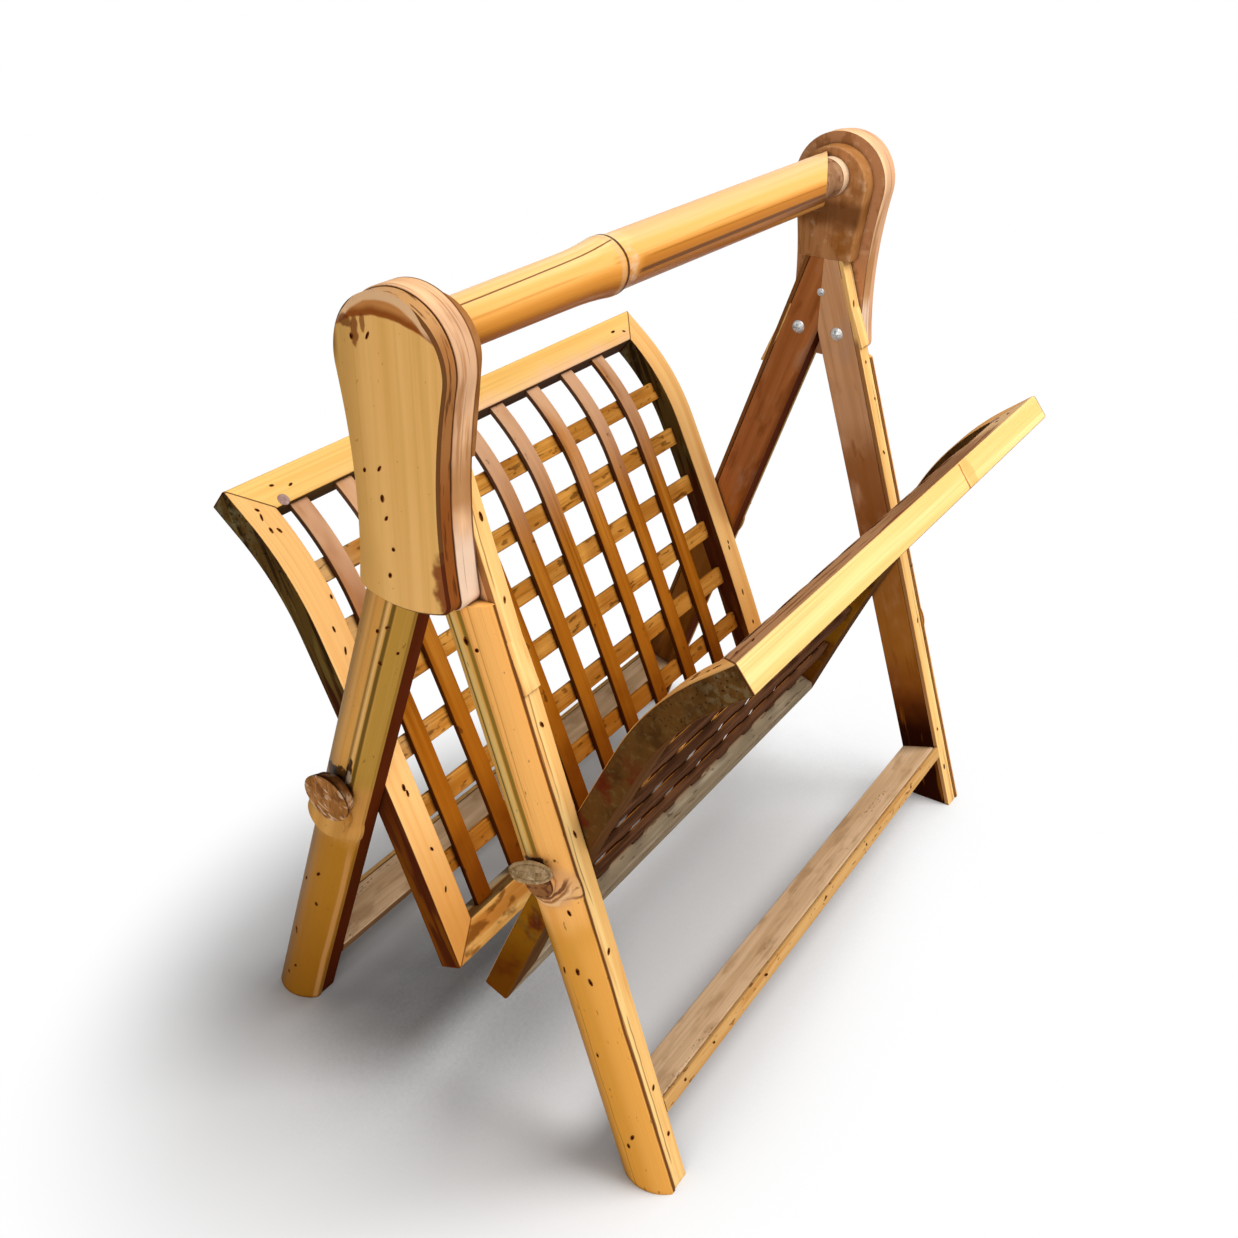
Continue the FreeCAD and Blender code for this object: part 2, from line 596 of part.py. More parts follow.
# Fasteners and the holes they sit in, at the right end; the left end is swung half a turn.
PANEL_MIDDLE = "(%s / 2)" % size("panel_thick")
MEAN_LEAN = "(%s + %s / 4)" % (LEAN, size("lower_angle"))
CORE_MIDDLE = "(%s + %s / 2)" % (LEG_FOOT, CORE_ACROSS)
CROSS_ALONG = ("((%s - tan(%s) * (%s - %s * sin(%s)) - %s - %s * cos(%s)) / (sin(%s) + tan(%s) * cos(%s)))"
               % (CORE_MIDDLE, SLOPE, size("panel_foot_up"), PANEL_MIDDLE, MEAN_LEAN, size("panel_foot_out"),
                  PANEL_MIDDLE, MEAN_LEAN, MEAN_LEAN, SLOPE, MEAN_LEAN))
CROSS_OUT = "(%s + %s * cos(%s) + %s * sin(%s))" % (
    size("panel_foot_out"), PANEL_MIDDLE, MEAN_LEAN, CROSS_ALONG, MEAN_LEAN)
CROSS_UP = "(%s - %s * sin(%s) + %s * cos(%s))" % (
    size("panel_foot_up"), PANEL_MIDDLE, MEAN_LEAN, CROSS_ALONG, MEAN_LEAN)
PIN_IN = "(%s - %s - %s / 2)" % (FRAME, size("slat_tenon"), size("pin_radius"))
PIN_LEG = size("pin_in_leg")
ENDS = {"right": 1, "left": -1}
SIDES = {"rear": 1, "front": -1}


def crossing_pins(name, radius, spare):
    """Two pins through each crossing of a panel's stile and a leg, keyed by end and side."""
    pins = {}
    for end, end_sign in ENDS.items():
        for side, side_sign in SIDES.items():
            members = []
            for number, step in enumerate((-1, 1)):
                out = "%d * %s" % (side_sign, CROSS_OUT)
                up = "%s + %d * %s" % (CROSS_UP, step, size("pin_spread"))
                if end_sign == 1:
                    start = "%s - %s - %s" % (INNER, PIN_IN, spare)
                else:
                    start = "-(%s + %s + %s)" % (INNER, PIN_LEG, spare)
                length = "%s + %s + 2 * %s" % (PIN_IN, PIN_LEG, spare)
                pin_name = "%s_%s_%s_%d" % (name, end, side, number)
                members.append(rod(pin_name, radius, length, (start, out, up)))
            pins[end, side] = members
    return pins


pins = crossing_pins("CrossingPin", size("pin_radius"), "0")
pin_holes = crossing_pins("CrossingHole", "%s + %s" % (size("pin_radius"), GAP), GAP)
keep(group("CrossingPins", [pin for pair in pins.values() for pin in pair]), "panel_crossing_pins", 8)
pin_hole_groups = {key: group("CrossingHoles_%s_%s" % key, members) for key, members in pin_holes.items()}

leg_screws = []
seam_screws = []
for end, end_sign in ENDS.items():
    for side_sign in SIDES.values():
        screw = make_screw("LegScrew", size("screw_head"), size("screw_shank"), size("screw_length"))
        level = "%s - %s" % (HEAD, size("screw_drop"))
        set_place(screw, INNER, "%d * %s" % (side_sign, size("screw_place")), level, "0", end_sign < 0)
        leg_screws.append(screw)
    small = make_screw("SeamScrew", size("seam_head"), size("seam_shank"), size("seam_length"))
    set_place(small, INNER, "0", "%s - %s" % (HEAD, size("seam_drop")), "0", end_sign < 0)
    seam_screws.append(small)
keep(group("LegScrews", leg_screws), "leg_screws", 4)
keep(group("SeamScrews", seam_screws), "seam_screws", 2)


def screw_hole(name, kind, out):
    """Hole for a screw of one kind, from the legs' inner faces."""
    radius = "%s + %s" % (size(kind + "_shank"), GAP)
    length = "%s + 2 * %s" % (size(kind + "_length"), GAP)
    level = "%s - %s" % (HEAD, size(kind + "_drop"))
    return rod(name, radius, length, ("%s - %s" % (INNER, GAP), out, level))


screw_holes = {side: screw_hole("ScrewHole_" + side, "screw", "%d * %s" % (side_sign, size("screw_place")))
               for side, side_sign in SIDES.items()}
seam_hole = screw_hole("SeamHole", "seam", "0")
board_holes = group("BoardHoles", list(screw_holes.values()) + [seam_hole])
core_holes = {side: group("CoreHoles_" + side, [hole, seam_hole]) for side, hole in screw_holes.items()}

# Cheeks at both ends.
cope = new_body("Cope")
cope_sketch = new_sketch(cope, "CopeOutline", "YZ_Plane", INNER)
draw_keyhole(cope_sketch, "(-%s)" % GAP)
extrude(cope, "Pad", cope_sketch, "%s + 2 * %s" % (size("leg_thick"), size("split_width")))
round_lower_corners(cope)

BORE_LEFT = "(%s - %s)" % (size("pole_left_radius"), size("pole_wall"))
BORE_RIGHT = "(%s - %s)" % (size("pole_right_radius"), size("pole_wall"))
for end, end_sign in ENDS.items():
    bore = BORE_RIGHT if end_sign == 1 else BORE_LEFT
    board = combine("Cut", "Board_" + end, make_board("BoardWhole_" + end), board_holes)
    plate = make_plate("Plate_" + end)
    core_block = make_block("Block_" + end, "%s - %s" % (bore, GAP))
    for piece, label in ((board, "backing_board"), (plate, "face_plate"), (core_block, "core_block")):
        set_place(piece, "0", "0", "0", "0", end_sign < 0)
        keep(piece, "%s_cheek_%s" % (end, label))

# Stretchers, square to the legs, with tenons let into the legs' cores.
STRETCH_OUT = "(%s - %s * sin(%s))" % (LEG_MIDDLE, size("stretcher_height"), SLOPE)
STRETCH_UP = "(%s * cos(%s))" % (size("stretcher_height"), SLOPE)
LEG_FULL = "(%s + %s + %s)" % (size("leg_width"), size("strip_thick"), GAP)
SLAT_EDGE = "(%s / 2 - %s - %s)" % (LEG_FULL, size("strip_thick"), GAP)
SHOULDER = "(%s - %s)" % (INNER, GAP)
mortises = {}
for side, side_sign in SIDES.items():
    body = new_body("StretcherSlat_" + side)
    plan = new_sketch(body, "StretcherPlan_" + side, "XY_Plane", "-%s / 2" % size("stretcher_thick"))
    low = "-%s / 2" % LEG_FULL
    tip = "(%s + %s)" % (INNER, size("tenon_depth"))
    tenon = "(%s / 2)" % size("tenon_width")
    right_side = [(SHOULDER, low), (SHOULDER, "-" + tenon), (tip, "-" + tenon), (tip, tenon),
                  (SHOULDER, tenon), (SHOULDER, SLAT_EDGE)]
    left_side = [("-" + u, v) for u, v in reversed(right_side)]
    trace(plan, right_side + left_side)
    extrude(body, "Pad", plan, size("stretcher_thick"))
    along_x = FreeCAD.Vector(1, 0, 0)
    long_edges = edges_where(body, lambda e: runs_along(e, along_x) and e.Length > sheet.inner_face)
    soften(body, "Fillet", long_edges, size("leg_round"))
    strip = new_body("StretcherStrip_" + side)
    edge = new_sketch(strip, "StretcherStripSection_" + side, "YZ_Plane", "-" + SHOULDER)
    near = "(%s + %s)" % (SLAT_EDGE, GAP)
    half = "(%s / 2)" % size("stretcher_thick")
    rounded_rectangle(edge, near, "(%s + %s)" % (near, size("strip_thick")), "-" + half, half,
                      size("strip_round"))
    extrude(strip, "Pad", edge, "2 * " + SHOULDER)
    hole = block("StretcherMortise_" + side, "2 * (%s + %s)" % (tip, GAP),
                 "%s + 2 * %s" % (size("tenon_width"), GAP), "%s + 2 * %s" % (size("stretcher_thick"), GAP),
                 ("-%s - %s" % (tip, GAP), "-%s - %s" % (tenon, GAP), "-%s - %s" % (half, GAP)))
    mortise = group("StretcherMortises_" + side, [hole])
    for piece in (body, strip, mortise):
        set_place(piece, "0", STRETCH_OUT, STRETCH_UP, SLOPE, side_sign < 0)
    keep(body, side + "_stretcher_slat")
    keep(strip, side + "_stretcher_edge_strip")
    mortises[side] = mortise

# Four legs: core slat, edge strip and outer split.
for end, end_sign in ENDS.items():
    for side, side_sign in SIDES.items():
        name = "%s_%s" % (side, end)
        drawn = side_sign * end_sign
        drawn_side = "rear" if drawn == 1 else "front"
        core = make_leg_core("LegCore_" + name, drawn)
        core = combine("Cut", "LegCoreMortised_" + name, core, mortises[drawn_side])
        core = combine("Cut", "LegCoreBored_" + name, core, core_holes[drawn_side])
        core = combine("Cut", "LegCorePinned_" + name, core, pin_hole_groups["right", drawn_side])
        strip = make_leg_strip("LegStrip_" + name, drawn)
        split = make_leg_split("LegSplit_" + name, drawn, size("node_" + name), size("stub_" + name), cope)
        for piece, label in ((core, "core"), (strip, "edge_strip"), (split, "outer_split")):
            set_place(piece, "0", "0", "0", "0", end_sign < 0)
            keep(piece, "%s_leg_%s" % (name, label))

# Handle: a hollow pole with one node, on a plug at each end.
pole = new_body("Pole")
profile = new_sketch(pole, "PoleProfile", "XY_Plane")
node = size("pole_node")
thin = size("pole_left_radius")
thick = size("pole_right_radius")
ring = size("pole_node_radius")
pole_end = "(%s - %s)" % (INNER, GAP)
ridge = size("pole_ridge_half")
web = size("pole_web_half")
left_mouth = "-" + pole_end
neck = size("pole_neck_radius")
swell_start = "(%s - %s)" % (node, size("pole_swell_left"))
swell_run = "(%s - %s)" % (size("pole_swell_left"), ridge)
swell_radius = "((%s^2 + (%s - %s)^2) / (2 * (%s - %s)))" % (swell_run, ring, neck, ring, neck)
corners = [(left_mouth, thin),
           (swell_start, neck),
           ("%s - %s" % (node, ridge), ring),
           ("%s + %s" % (node, ridge), ring),
           ("%s + 2 * %s" % (node, ridge), "%s - %s" % (ring, size("pole_ridge_rise"))),
           ("%s + %s" % (node, size("pole_swell_right")), size("pole_throat_radius")),
           (pole_end, thick),
           (pole_end, BORE_RIGHT),
           ("%s + %s" % (node, web), BORE_RIGHT),
           ("%s + %s" % (node, web), "0"),
           ("%s - %s" % (node, web), "0"),
           ("%s - %s" % (node, web), BORE_LEFT),
           (left_mouth, BORE_LEFT)]
trace(profile, corners, {1: (swell_start, "%s + %s" % (neck, swell_radius), swell_radius, True)})
turn = pole.newObject("PartDesign::Revolution", "PoleTurn")
turn.Profile = profile
turn.ReferenceAxis = (profile, ["H_Axis"])
turn.Angle = 360
pole.Tip = turn
doc.recompute()
slant = size("pole_cut_angle")
reach = "(%s * 3)" % size("pole_node_radius")
cutter = doc.addObject("Part::Box", "PoleCut")
for side_name in ("Length", "Width", "Height"):
    cutter.setExpression(side_name, "2 * %s" % reach)
cut_x = "%s - %s * cos(%s) + 2 * %s * sin(%s)" % (size("pole_cut_place"), reach, slant, reach, slant)
cut_y = "-%s * sin(%s) - 2 * %s * cos(%s)" % (reach, slant, reach, slant)
cutter.setExpression("Placement", "placement(vector(%s; %s; -%s); rotation(%s; 0; 0))"
                     % (cut_x, cut_y, reach, slant))
cut_pole = combine("Cut", "PoleCutToFit", pole, cutter)
set_place(cut_pole, "0", "0", HANDLE, "0", False)
keep(cut_pole, "handle_pole")
PLUG_LENGTH = "%s + %s - %s" % (size("plug_reach"), size("plug_seat"), GAP)
right_plug = rod("PlugRight", "%s - %s" % (BORE_RIGHT, GAP), PLUG_LENGTH,
                 ("%s - %s" % (INNER, size("plug_reach")), "0", HANDLE))
left_plug = rod("PlugLeft", "%s - %s" % (BORE_LEFT, GAP), PLUG_LENGTH,
                ("-(%s + %s - %s)" % (INNER, size("plug_seat"), GAP), "0", HANDLE))
keep(right_plug, "right_handle_plug")
keep(left_plug, "left_handle_plug")

# Lattice panels. A panel is drawn with its lower inner edge at the origin, its lower rail
# upright and its depth along +Y; the front panel is the rear one swung half a turn.
LOW_R = size("lower_radius")
HIGH_R = size("upper_radius")
LOW_TURN = size("lower_angle")
FULL_TURN = "(%s + %s)" % (LOW_TURN, size("upper_angle"))
KNEE = "(%s + %s * %s * pi / 180)" % (FRAME, LOW_R, LOW_TURN)
KNEE_OUT = "(%s * (1 - cos(%s)))" % (LOW_R, LOW_TURN)
KNEE_UP = "(%s + %s * sin(%s))" % (FRAME, LOW_R, LOW_TURN)
CENTRE_OUT = "(%s + %s * cos(%s))" % (KNEE_OUT, HIGH_R, LOW_TURN)
CENTRE_UP = "(%s - %s * sin(%s))" % (KNEE_UP, HIGH_R, LOW_TURN)
NECK_OUT = "(%s - %s * cos(%s))" % (CENTRE_OUT, HIGH_R, FULL_TURN)
NECK_UP = "(%s + %s * sin(%s))" % (CENTRE_UP, HIGH_R, FULL_TURN)


def on_neck(distance, depth="0"):
    """Point on the straight top of a panel, a distance above the curve and a depth behind the face."""
    out = "(%s + (%s) * sin(%s) + (%s) * cos(%s))" % (NECK_OUT, distance, FULL_TURN, depth, FULL_TURN)
    up = "(%s + (%s) * cos(%s) - (%s) * sin(%s))" % (NECK_UP, distance, FULL_TURN, depth, FULL_TURN)
    return out, up


def in_room(out, up):
    """Point of a panel's drawing carried to where the rear panel stands."""
    y = "(%s + %s * cos(%s) + %s * sin(%s))" % (size("panel_foot_out"), out, LEAN, up, LEAN)
    z = "(%s - %s * sin(%s) + %s * cos(%s))" % (size("panel_foot_up"), out, LEAN, up, LEAN)
    return y, z


def on_curve(along, depth):
    """Point and turn at a distance up the panel's inner face, a depth behind it."""
    low = "((%s - %s) / %s * 180 / pi)" % (along, FRAME, LOW_R)
    high = "(%s + (%s - %s) / %s * 180 / pi)" % (LOW_TURN, along, KNEE, HIGH_R)
    lower = "%s < %s" % (along, KNEE)
    out = "(%s ? %s - (%s - %s) * cos(%s) : %s - (%s - %s) * cos(%s))" % (
        lower, LOW_R, LOW_R, depth, low, CENTRE_OUT, HIGH_R, depth, high)
    up = "(%s ? %s + (%s - %s) * sin(%s) : %s + (%s - %s) * sin(%s))" % (
        lower, FRAME, LOW_R, depth, low, CENTRE_UP, HIGH_R, depth, high)
    turn_text = "(%s ? %s : %s)" % (lower, low, high)
    return out, up, turn_text


def sweep(name, start, finish, left, right, near, far, radius):
    """Rounded section carried up the panel's curve."""
    body = new_body(name)
    path = new_sketch(body, name + "Path", "YZ_Plane")
    corners = [("0", start), ("0", FRAME), (KNEE_OUT, KNEE_UP), (NECK_OUT, NECK_UP), on_neck(finish)]
    arcs = {1: (LOW_R, FRAME, LOW_R, False), 2: (CENTRE_OUT, CENTRE_UP, HIGH_R, False)}
    trace(path, corners, arcs, closed=False)
    section = new_sketch(body, name + "Section", "XY_Plane", start)
    rounded_rectangle(section, left, right, near, far, radius)
    pipe = body.newObject("PartDesign::AdditivePipe", name + "Sweep")
    pipe.Profile = section
    pipe.Spine = (path, [])
    body.Tip = pipe
    doc.recompute()
    return body


def make_rail_blank(name, upper, grow):
    """Mitred rail in its own frame; grow makes the longer tool that mitres the stiles."""
    body = new_body(name)
    sketch = new_sketch(body, name + "Face", "XZ_Plane", "(%s)" % grow)
    long_half = "(%s + (%s))" % (PANEL_HALF, grow)
    short_half = "(%s - %s)" % (PANEL_HALF, FRAME)
    if upper:
        corners = [("-" + long_half, grow), ("-" + short_half, "-" + FRAME), (short_half, "-" + FRAME),
                   (long_half, grow)]
    else:
        corners = [("-" + long_half, "-(%s)" % grow), (long_half, "-(%s)" % grow), (short_half, FRAME),
                   ("-" + short_half, FRAME)]
    trace(sketch, corners)
    extrude(body, "Pad", sketch, "%s + 2 * (%s)" % (size("panel_thick"), grow), backward=True)
    return body


def rail_mortises(name, upper):
    """Seats for the uprights' ends in a rail's inner edge, in the rail's own frame."""
    deep = "(%s + %s)" % (size("slat_tenon"), GAP)
    level = "-" + FRAME if upper else "(%s - %s)" % (FRAME, deep)
    seats = []
    for number in range(1, UPRIGHT_COUNT + 1):
        start = "%s - %s / 2 - %s" % (size("upright_%d" % number), size("slat_width"), GAP)
        seats.append(block("%s_%d" % (name, number), "%s + 2 * %s" % (size("slat_width"), GAP),
                           "%s + 2 * %s" % (size("slat_thick"), GAP), deep,
                           (start, "%s - %s" % (size("upright_depth"), GAP), level)))
    return group(name, seats)


def corner_pins(name, radius, spare):
    """Pins across the four mitres, in the panel's drawing."""
    length = "(%s + 2 * %s)" % (FRAME, spare)
    inset = size("pin_inset")
    left = "-%s + %s - %s" % (PANEL_HALF, inset, spare)
    right = "%s - %s - %s + %s" % (PANEL_HALF, inset, length, spare)
    members = []
    for out, up in ((PANEL_MIDDLE, "(%s - %s)" % (FRAME, inset)), on_neck(inset, PANEL_MIDDLE)):
        for start in (left, right):
            members.append(rod("%s_%d" % (name, len(members)), radius, length, (start, out, up)))
    return group(name, members)


def stand(piece, turned, shift="0"):
    """Put a piece of a panel's drawing where the panel stands."""
    set_place(piece, shift, size("panel_foot_out"), size("panel_foot_up"), "-" + LEAN, turned)


CROSS_DEPTH = "(%s + %s * 1.5 + 2.5 * %s)" % (size("upright_depth"), size("slat_thick"), GAP)
CROSS_HALF = "(%s - %s + %s)" % (PANEL_HALF, FRAME, size("slat_tenon"))
slat_seats = []
for number in range(CROSS_COUNT):
    along = "(%s + %d * %s)" % (size("slat_start"), number, size("slat_pitch"))
    out, up, turn_text = on_curve(along, CROSS_DEPTH)
    high = "(%s + 2 * %s)" % (size("slat_width"), GAP)
    deep = "(%s + 2 * %s)" % (size("slat_thick"), GAP)
    seat = doc.addObject("Part::Box", "SlatSeat_%d" % number)
    seat.setExpression("Length", "2 * (%s + %s)" % (CROSS_HALF, GAP))
    seat.setExpression("Width", deep)
    seat.setExpression("Height", high)
    corner_out = "%s - %s / 2 * cos(%s) - %s / 2 * sin(%s)" % (out, deep, turn_text, high, turn_text)
    corner_up = "%s + %s / 2 * sin(%s) - %s / 2 * cos(%s)" % (up, deep, turn_text, high, turn_text)
    seat.setExpression("Placement", "placement(vector(-(%s + %s); %s; %s); rotation(0; 0; -%s))"
                       % (CROSS_HALF, GAP, corner_out, corner_up, turn_text))
    slat_seats.append(seat)
slat_seats = group("SlatSeats", slat_seats)
top_tool = make_rail_blank("TopTool", True, GAP)
set_place(top_tool, "0", *on_neck(FRAME), "-" + FULL_TURN, False)
bottom_tool = make_rail_blank("BottomTool", False, GAP)
corner_holes = corner_pins("CornerHoles", "%s + %s" % (size("pin_radius"), GAP), GAP)
top_seats = rail_mortises("TopSeats", True)
bottom_seats = rail_mortises("BottomSeats", False)
corner_pin_groups = []

for side, side_sign in SIDES.items():
    turned = side_sign < 0
    pieces = corner_pins("CornerPins_" + side, size("pin_radius"), "0")
    stand(pieces, turned)
    corner_pin_groups.append(pieces)
    for level, upper, seats in (("top", True, top_seats), ("bottom", False, bottom_seats)):
        body = make_rail_blank("Rail_%s_%s" % (side, level), upper, "0")
        along_x = FreeCAD.Vector(1, 0, 0)
        soften(body, "Fillet", edges_where(body, lambda e: runs_along(e, along_x)), size("frame_round"))
        rail = combine("Cut", "RailSeated_%s_%s" % (side, level), body, seats)
        if upper:
            place = in_room(*on_neck(FRAME))
            set_place(rail, "0", place[0], place[1], "-(%s + %s)" % (LEAN, FULL_TURN), turned)
        else:
            stand(rail, turned)
        rail = combine("Cut", "RailPinned_%s_%s" % (side, level), rail, corner_pin_groups[-1])
        keep(rail, "%s_panel_%s_rail" % (side, level))
    for end, end_sign in ENDS.items():
        drawn = end_sign * side_sign
        near = "(%s - %s)" % (PANEL_HALF, FRAME)
        left, right = (near, PANEL_HALF) if drawn == 1 else ("-" + PANEL_HALF, "-" + near)
        stile = sweep("Stile_%s_%s" % (side, end), "0", FRAME, left, right, "0", size("panel_thick"),
                      size("frame_round"))
        for label, tool in (("MitredTop", top_tool), ("MitredLow", bottom_tool), ("Seated", slat_seats),
                            ("Bored", corner_holes)):
            stile = combine("Cut", "Stile%s_%s_%s" % (label, side, end), stile, tool)
        stand(stile, turned)
        stile = combine("Cut", "StilePinned_%s_%s" % (side, end), stile, pin_hole_groups[end, side])
        keep(stile, "%s_panel_%s_stile" % (side, end))
    for number in range(1, UPRIGHT_COUNT + 1):
        half = "(%s / 2)" % size("slat_width")
        depth = size("upright_depth")
        slat = sweep("Upright_%s_%d" % (side, number), "(%s - %s)" % (FRAME, size("slat_tenon")),
                     size("slat_tenon"), "-" + half, half, depth, "(%s + %s)" % (depth, size("slat_thick")),
                     size("slat_round"))
        stand(slat, turned, size("upright_%d" % number))
        keep(slat, "%s_panel_upright_slat_%d" % (side, number))
    crossing = []
    for number in range(CROSS_COUNT):
        along = "(%s + %d * %s)" % (size("slat_start"), number, size("slat_pitch"))
        out, up, turn_text = on_curve(along, CROSS_DEPTH)
        body = new_body("CrossSlat_%s_%d" % (side, number))
        section = new_sketch(body, "CrossSection_%s_%d" % (side, number), "YZ_Plane", "-" + CROSS_HALF)
        thick_half = "(%s / 2)" % size("slat_thick")
        wide_half = "(%s / 2)" % size("slat_width")
        rounded_rectangle(section, "-" + thick_half, thick_half, "-" + wide_half, wide_half,
                          size("slat_round"))
        extrude(body, "Pad", section, "2 * " + CROSS_HALF)
        set_place(body, "0", out, up, "-" + turn_text, False)
        crossing.append(body)
    crossing = group("CrossSlats_" + side, crossing)
    stand(crossing, turned)
    keep(crossing, side + "_panel_cross_slats", CROSS_COUNT)
keep(group("CornerPins", corner_pin_groups), "panel_corner_pins", 8)

doc.recompute()
for thing in doc.Objects:
    if "Invalid" in thing.State or "Error" in thing.State:
        raise RuntimeError("%s could not be built" % thing.Label)
os.makedirs("parts", exist_ok=True)
for thing, label, solids in nodes:
    shape = thing.Shape
    if not shape.isValid() or len(shape.Solids) != solids:
        raise RuntimeError("%s: %d solids, valid %s" % (label, len(shape.Solids), shape.isValid()))
    shape.exportStep("parts/%s.step" % label)
print("%d pieces written" % len(nodes))
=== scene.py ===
"""Looks of a bamboo magazine rack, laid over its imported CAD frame."""
import logging
import math
import random
from dataclasses import dataclass, replace
from enum import Enum

import bpy
from mathutils import Matrix, Quaternion, Vector


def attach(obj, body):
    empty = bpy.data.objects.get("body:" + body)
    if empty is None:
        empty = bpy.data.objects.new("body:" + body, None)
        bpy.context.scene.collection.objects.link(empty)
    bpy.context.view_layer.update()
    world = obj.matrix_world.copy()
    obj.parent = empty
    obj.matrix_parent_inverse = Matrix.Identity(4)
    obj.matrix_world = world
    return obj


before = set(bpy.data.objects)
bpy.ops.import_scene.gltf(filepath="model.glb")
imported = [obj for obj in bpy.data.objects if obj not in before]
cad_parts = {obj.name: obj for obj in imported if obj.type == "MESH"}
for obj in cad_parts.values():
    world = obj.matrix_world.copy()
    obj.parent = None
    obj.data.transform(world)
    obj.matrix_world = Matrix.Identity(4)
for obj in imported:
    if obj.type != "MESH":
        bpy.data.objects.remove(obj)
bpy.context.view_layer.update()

LOG = logging.getLogger("rack")
MM = 0.001
LEG_LEAN = 18.5
UPWARD = Vector((0, 0, 1))
WHITE = (1.0, 1.0, 1.0, 1.0)
# Shares of a thin line's half width at which its mask starts to show and is full.
LINE_OUTER, LINE_INNER = 1.6, 0.6

Socket = bpy.types.NodeSocket
Material = bpy.types.Material
Piece = bpy.types.Object
Colour = tuple[float, float, float, float]
Triple = tuple[float, float, float]
Value = float | Socket


class Axis(Enum):
    """An axis of a piece's own frame, which leans with the piece."""

    X = 0
    Y = 1
    Z = 2


X, Y, Z = Axis


class Run(Enum):
    """The axis that the fibres of a piece follow."""

    LENGTHWISE = (1, 0, 0)
    UPRIGHT = (0, 0, 1)
    IN_LAYERS = (0, 1, 1)


class Choice(Enum):
    """A choice whose word is part of the pieces' names."""

    @property
    def word(self) -> str:
        """The word for the choice."""
        return self.name.lower()


class Side(Choice):
    """An end of the rack, with its sign along X."""

    LEFT = -1
    RIGHT = 1


class Row(Choice):
    """A long side of the rack, with its sign along Y."""

    REAR = 1
    FRONT = -1


def linear(tone: str) -> Colour:
    """Turns an sRGB hex tone into a linear colour.

    Args:
        tone: Six hex digits after a hash sign.

    Returns:
        Red, green, blue and an alpha of one.
    """
    parts = [int(tone[i:i + 2], 16) / 255 for i in (1, 3, 5)]
    red, green, blue = (p / 12.92 if p <= 0.04045 else ((p + 0.055) / 1.055) ** 2.4 for p in parts)
    return red, green, blue, 1.0


class NodeTree:
    """A node tree while it is written."""

    def __init__(self, tree: bpy.types.NodeTree) -> None:
        """Starts with the tree emptied."""
        self.tree = tree
        tree.nodes.clear()

    def add(self, kind: str, inputs: dict | None = None, **settings: object) -> bpy.types.Node:
        """Adds a node with its settings, input values and links.

        Args:
            kind: The node's type name.
            inputs: Values or output sockets, by input name or number.
            **settings: The node's own fields.

        Returns:
            The new node.
        """
        node = self.tree.nodes.new(kind)
        for field_name, value in settings.items():
            setattr(node, field_name, value)
        for key, value in (inputs or {}).items():
            if isinstance(value, Socket):
                self.tree.links.new(value, node.inputs[key])
            else:
                node.inputs[key].default_value = value
        return node

    def math(self, operation: str, *values: Value) -> Socket:
        """Combines numbers or sockets with one arithmetic operation."""
        inputs = dict(enumerate(values))
        return self.add("ShaderNodeMath", inputs, operation=operation).outputs[0]

    def ramp(self, value: Socket, low: float, high: float, start: float = 0.0, end: float = 1.0) -> Socket:
        """Maps a value smoothly from one range to another and returns the socket."""
        inputs = {"Value": value, "From Min": low, "From Max": high, "To Min": start, "To Max": end}
        return self.add("ShaderNodeMapRange", inputs, interpolation_type="SMOOTHSTEP").outputs[0]

    def seen(self) -> Socket:
        """Tells the rays that show the surround from those that only light the rack.

        Returns:
            One for a ray from the camera, a reflection or glass.
        """
        rays = self.add("ShaderNodeLightPath").outputs
        kinds = ("Is Camera Ray", "Is Glossy Ray", "Is Transmission Ray")
        first, second, third = (rays[kind] for kind in kinds)
        return self.math("MAXIMUM", self.math("MAXIMUM", first, second), third)


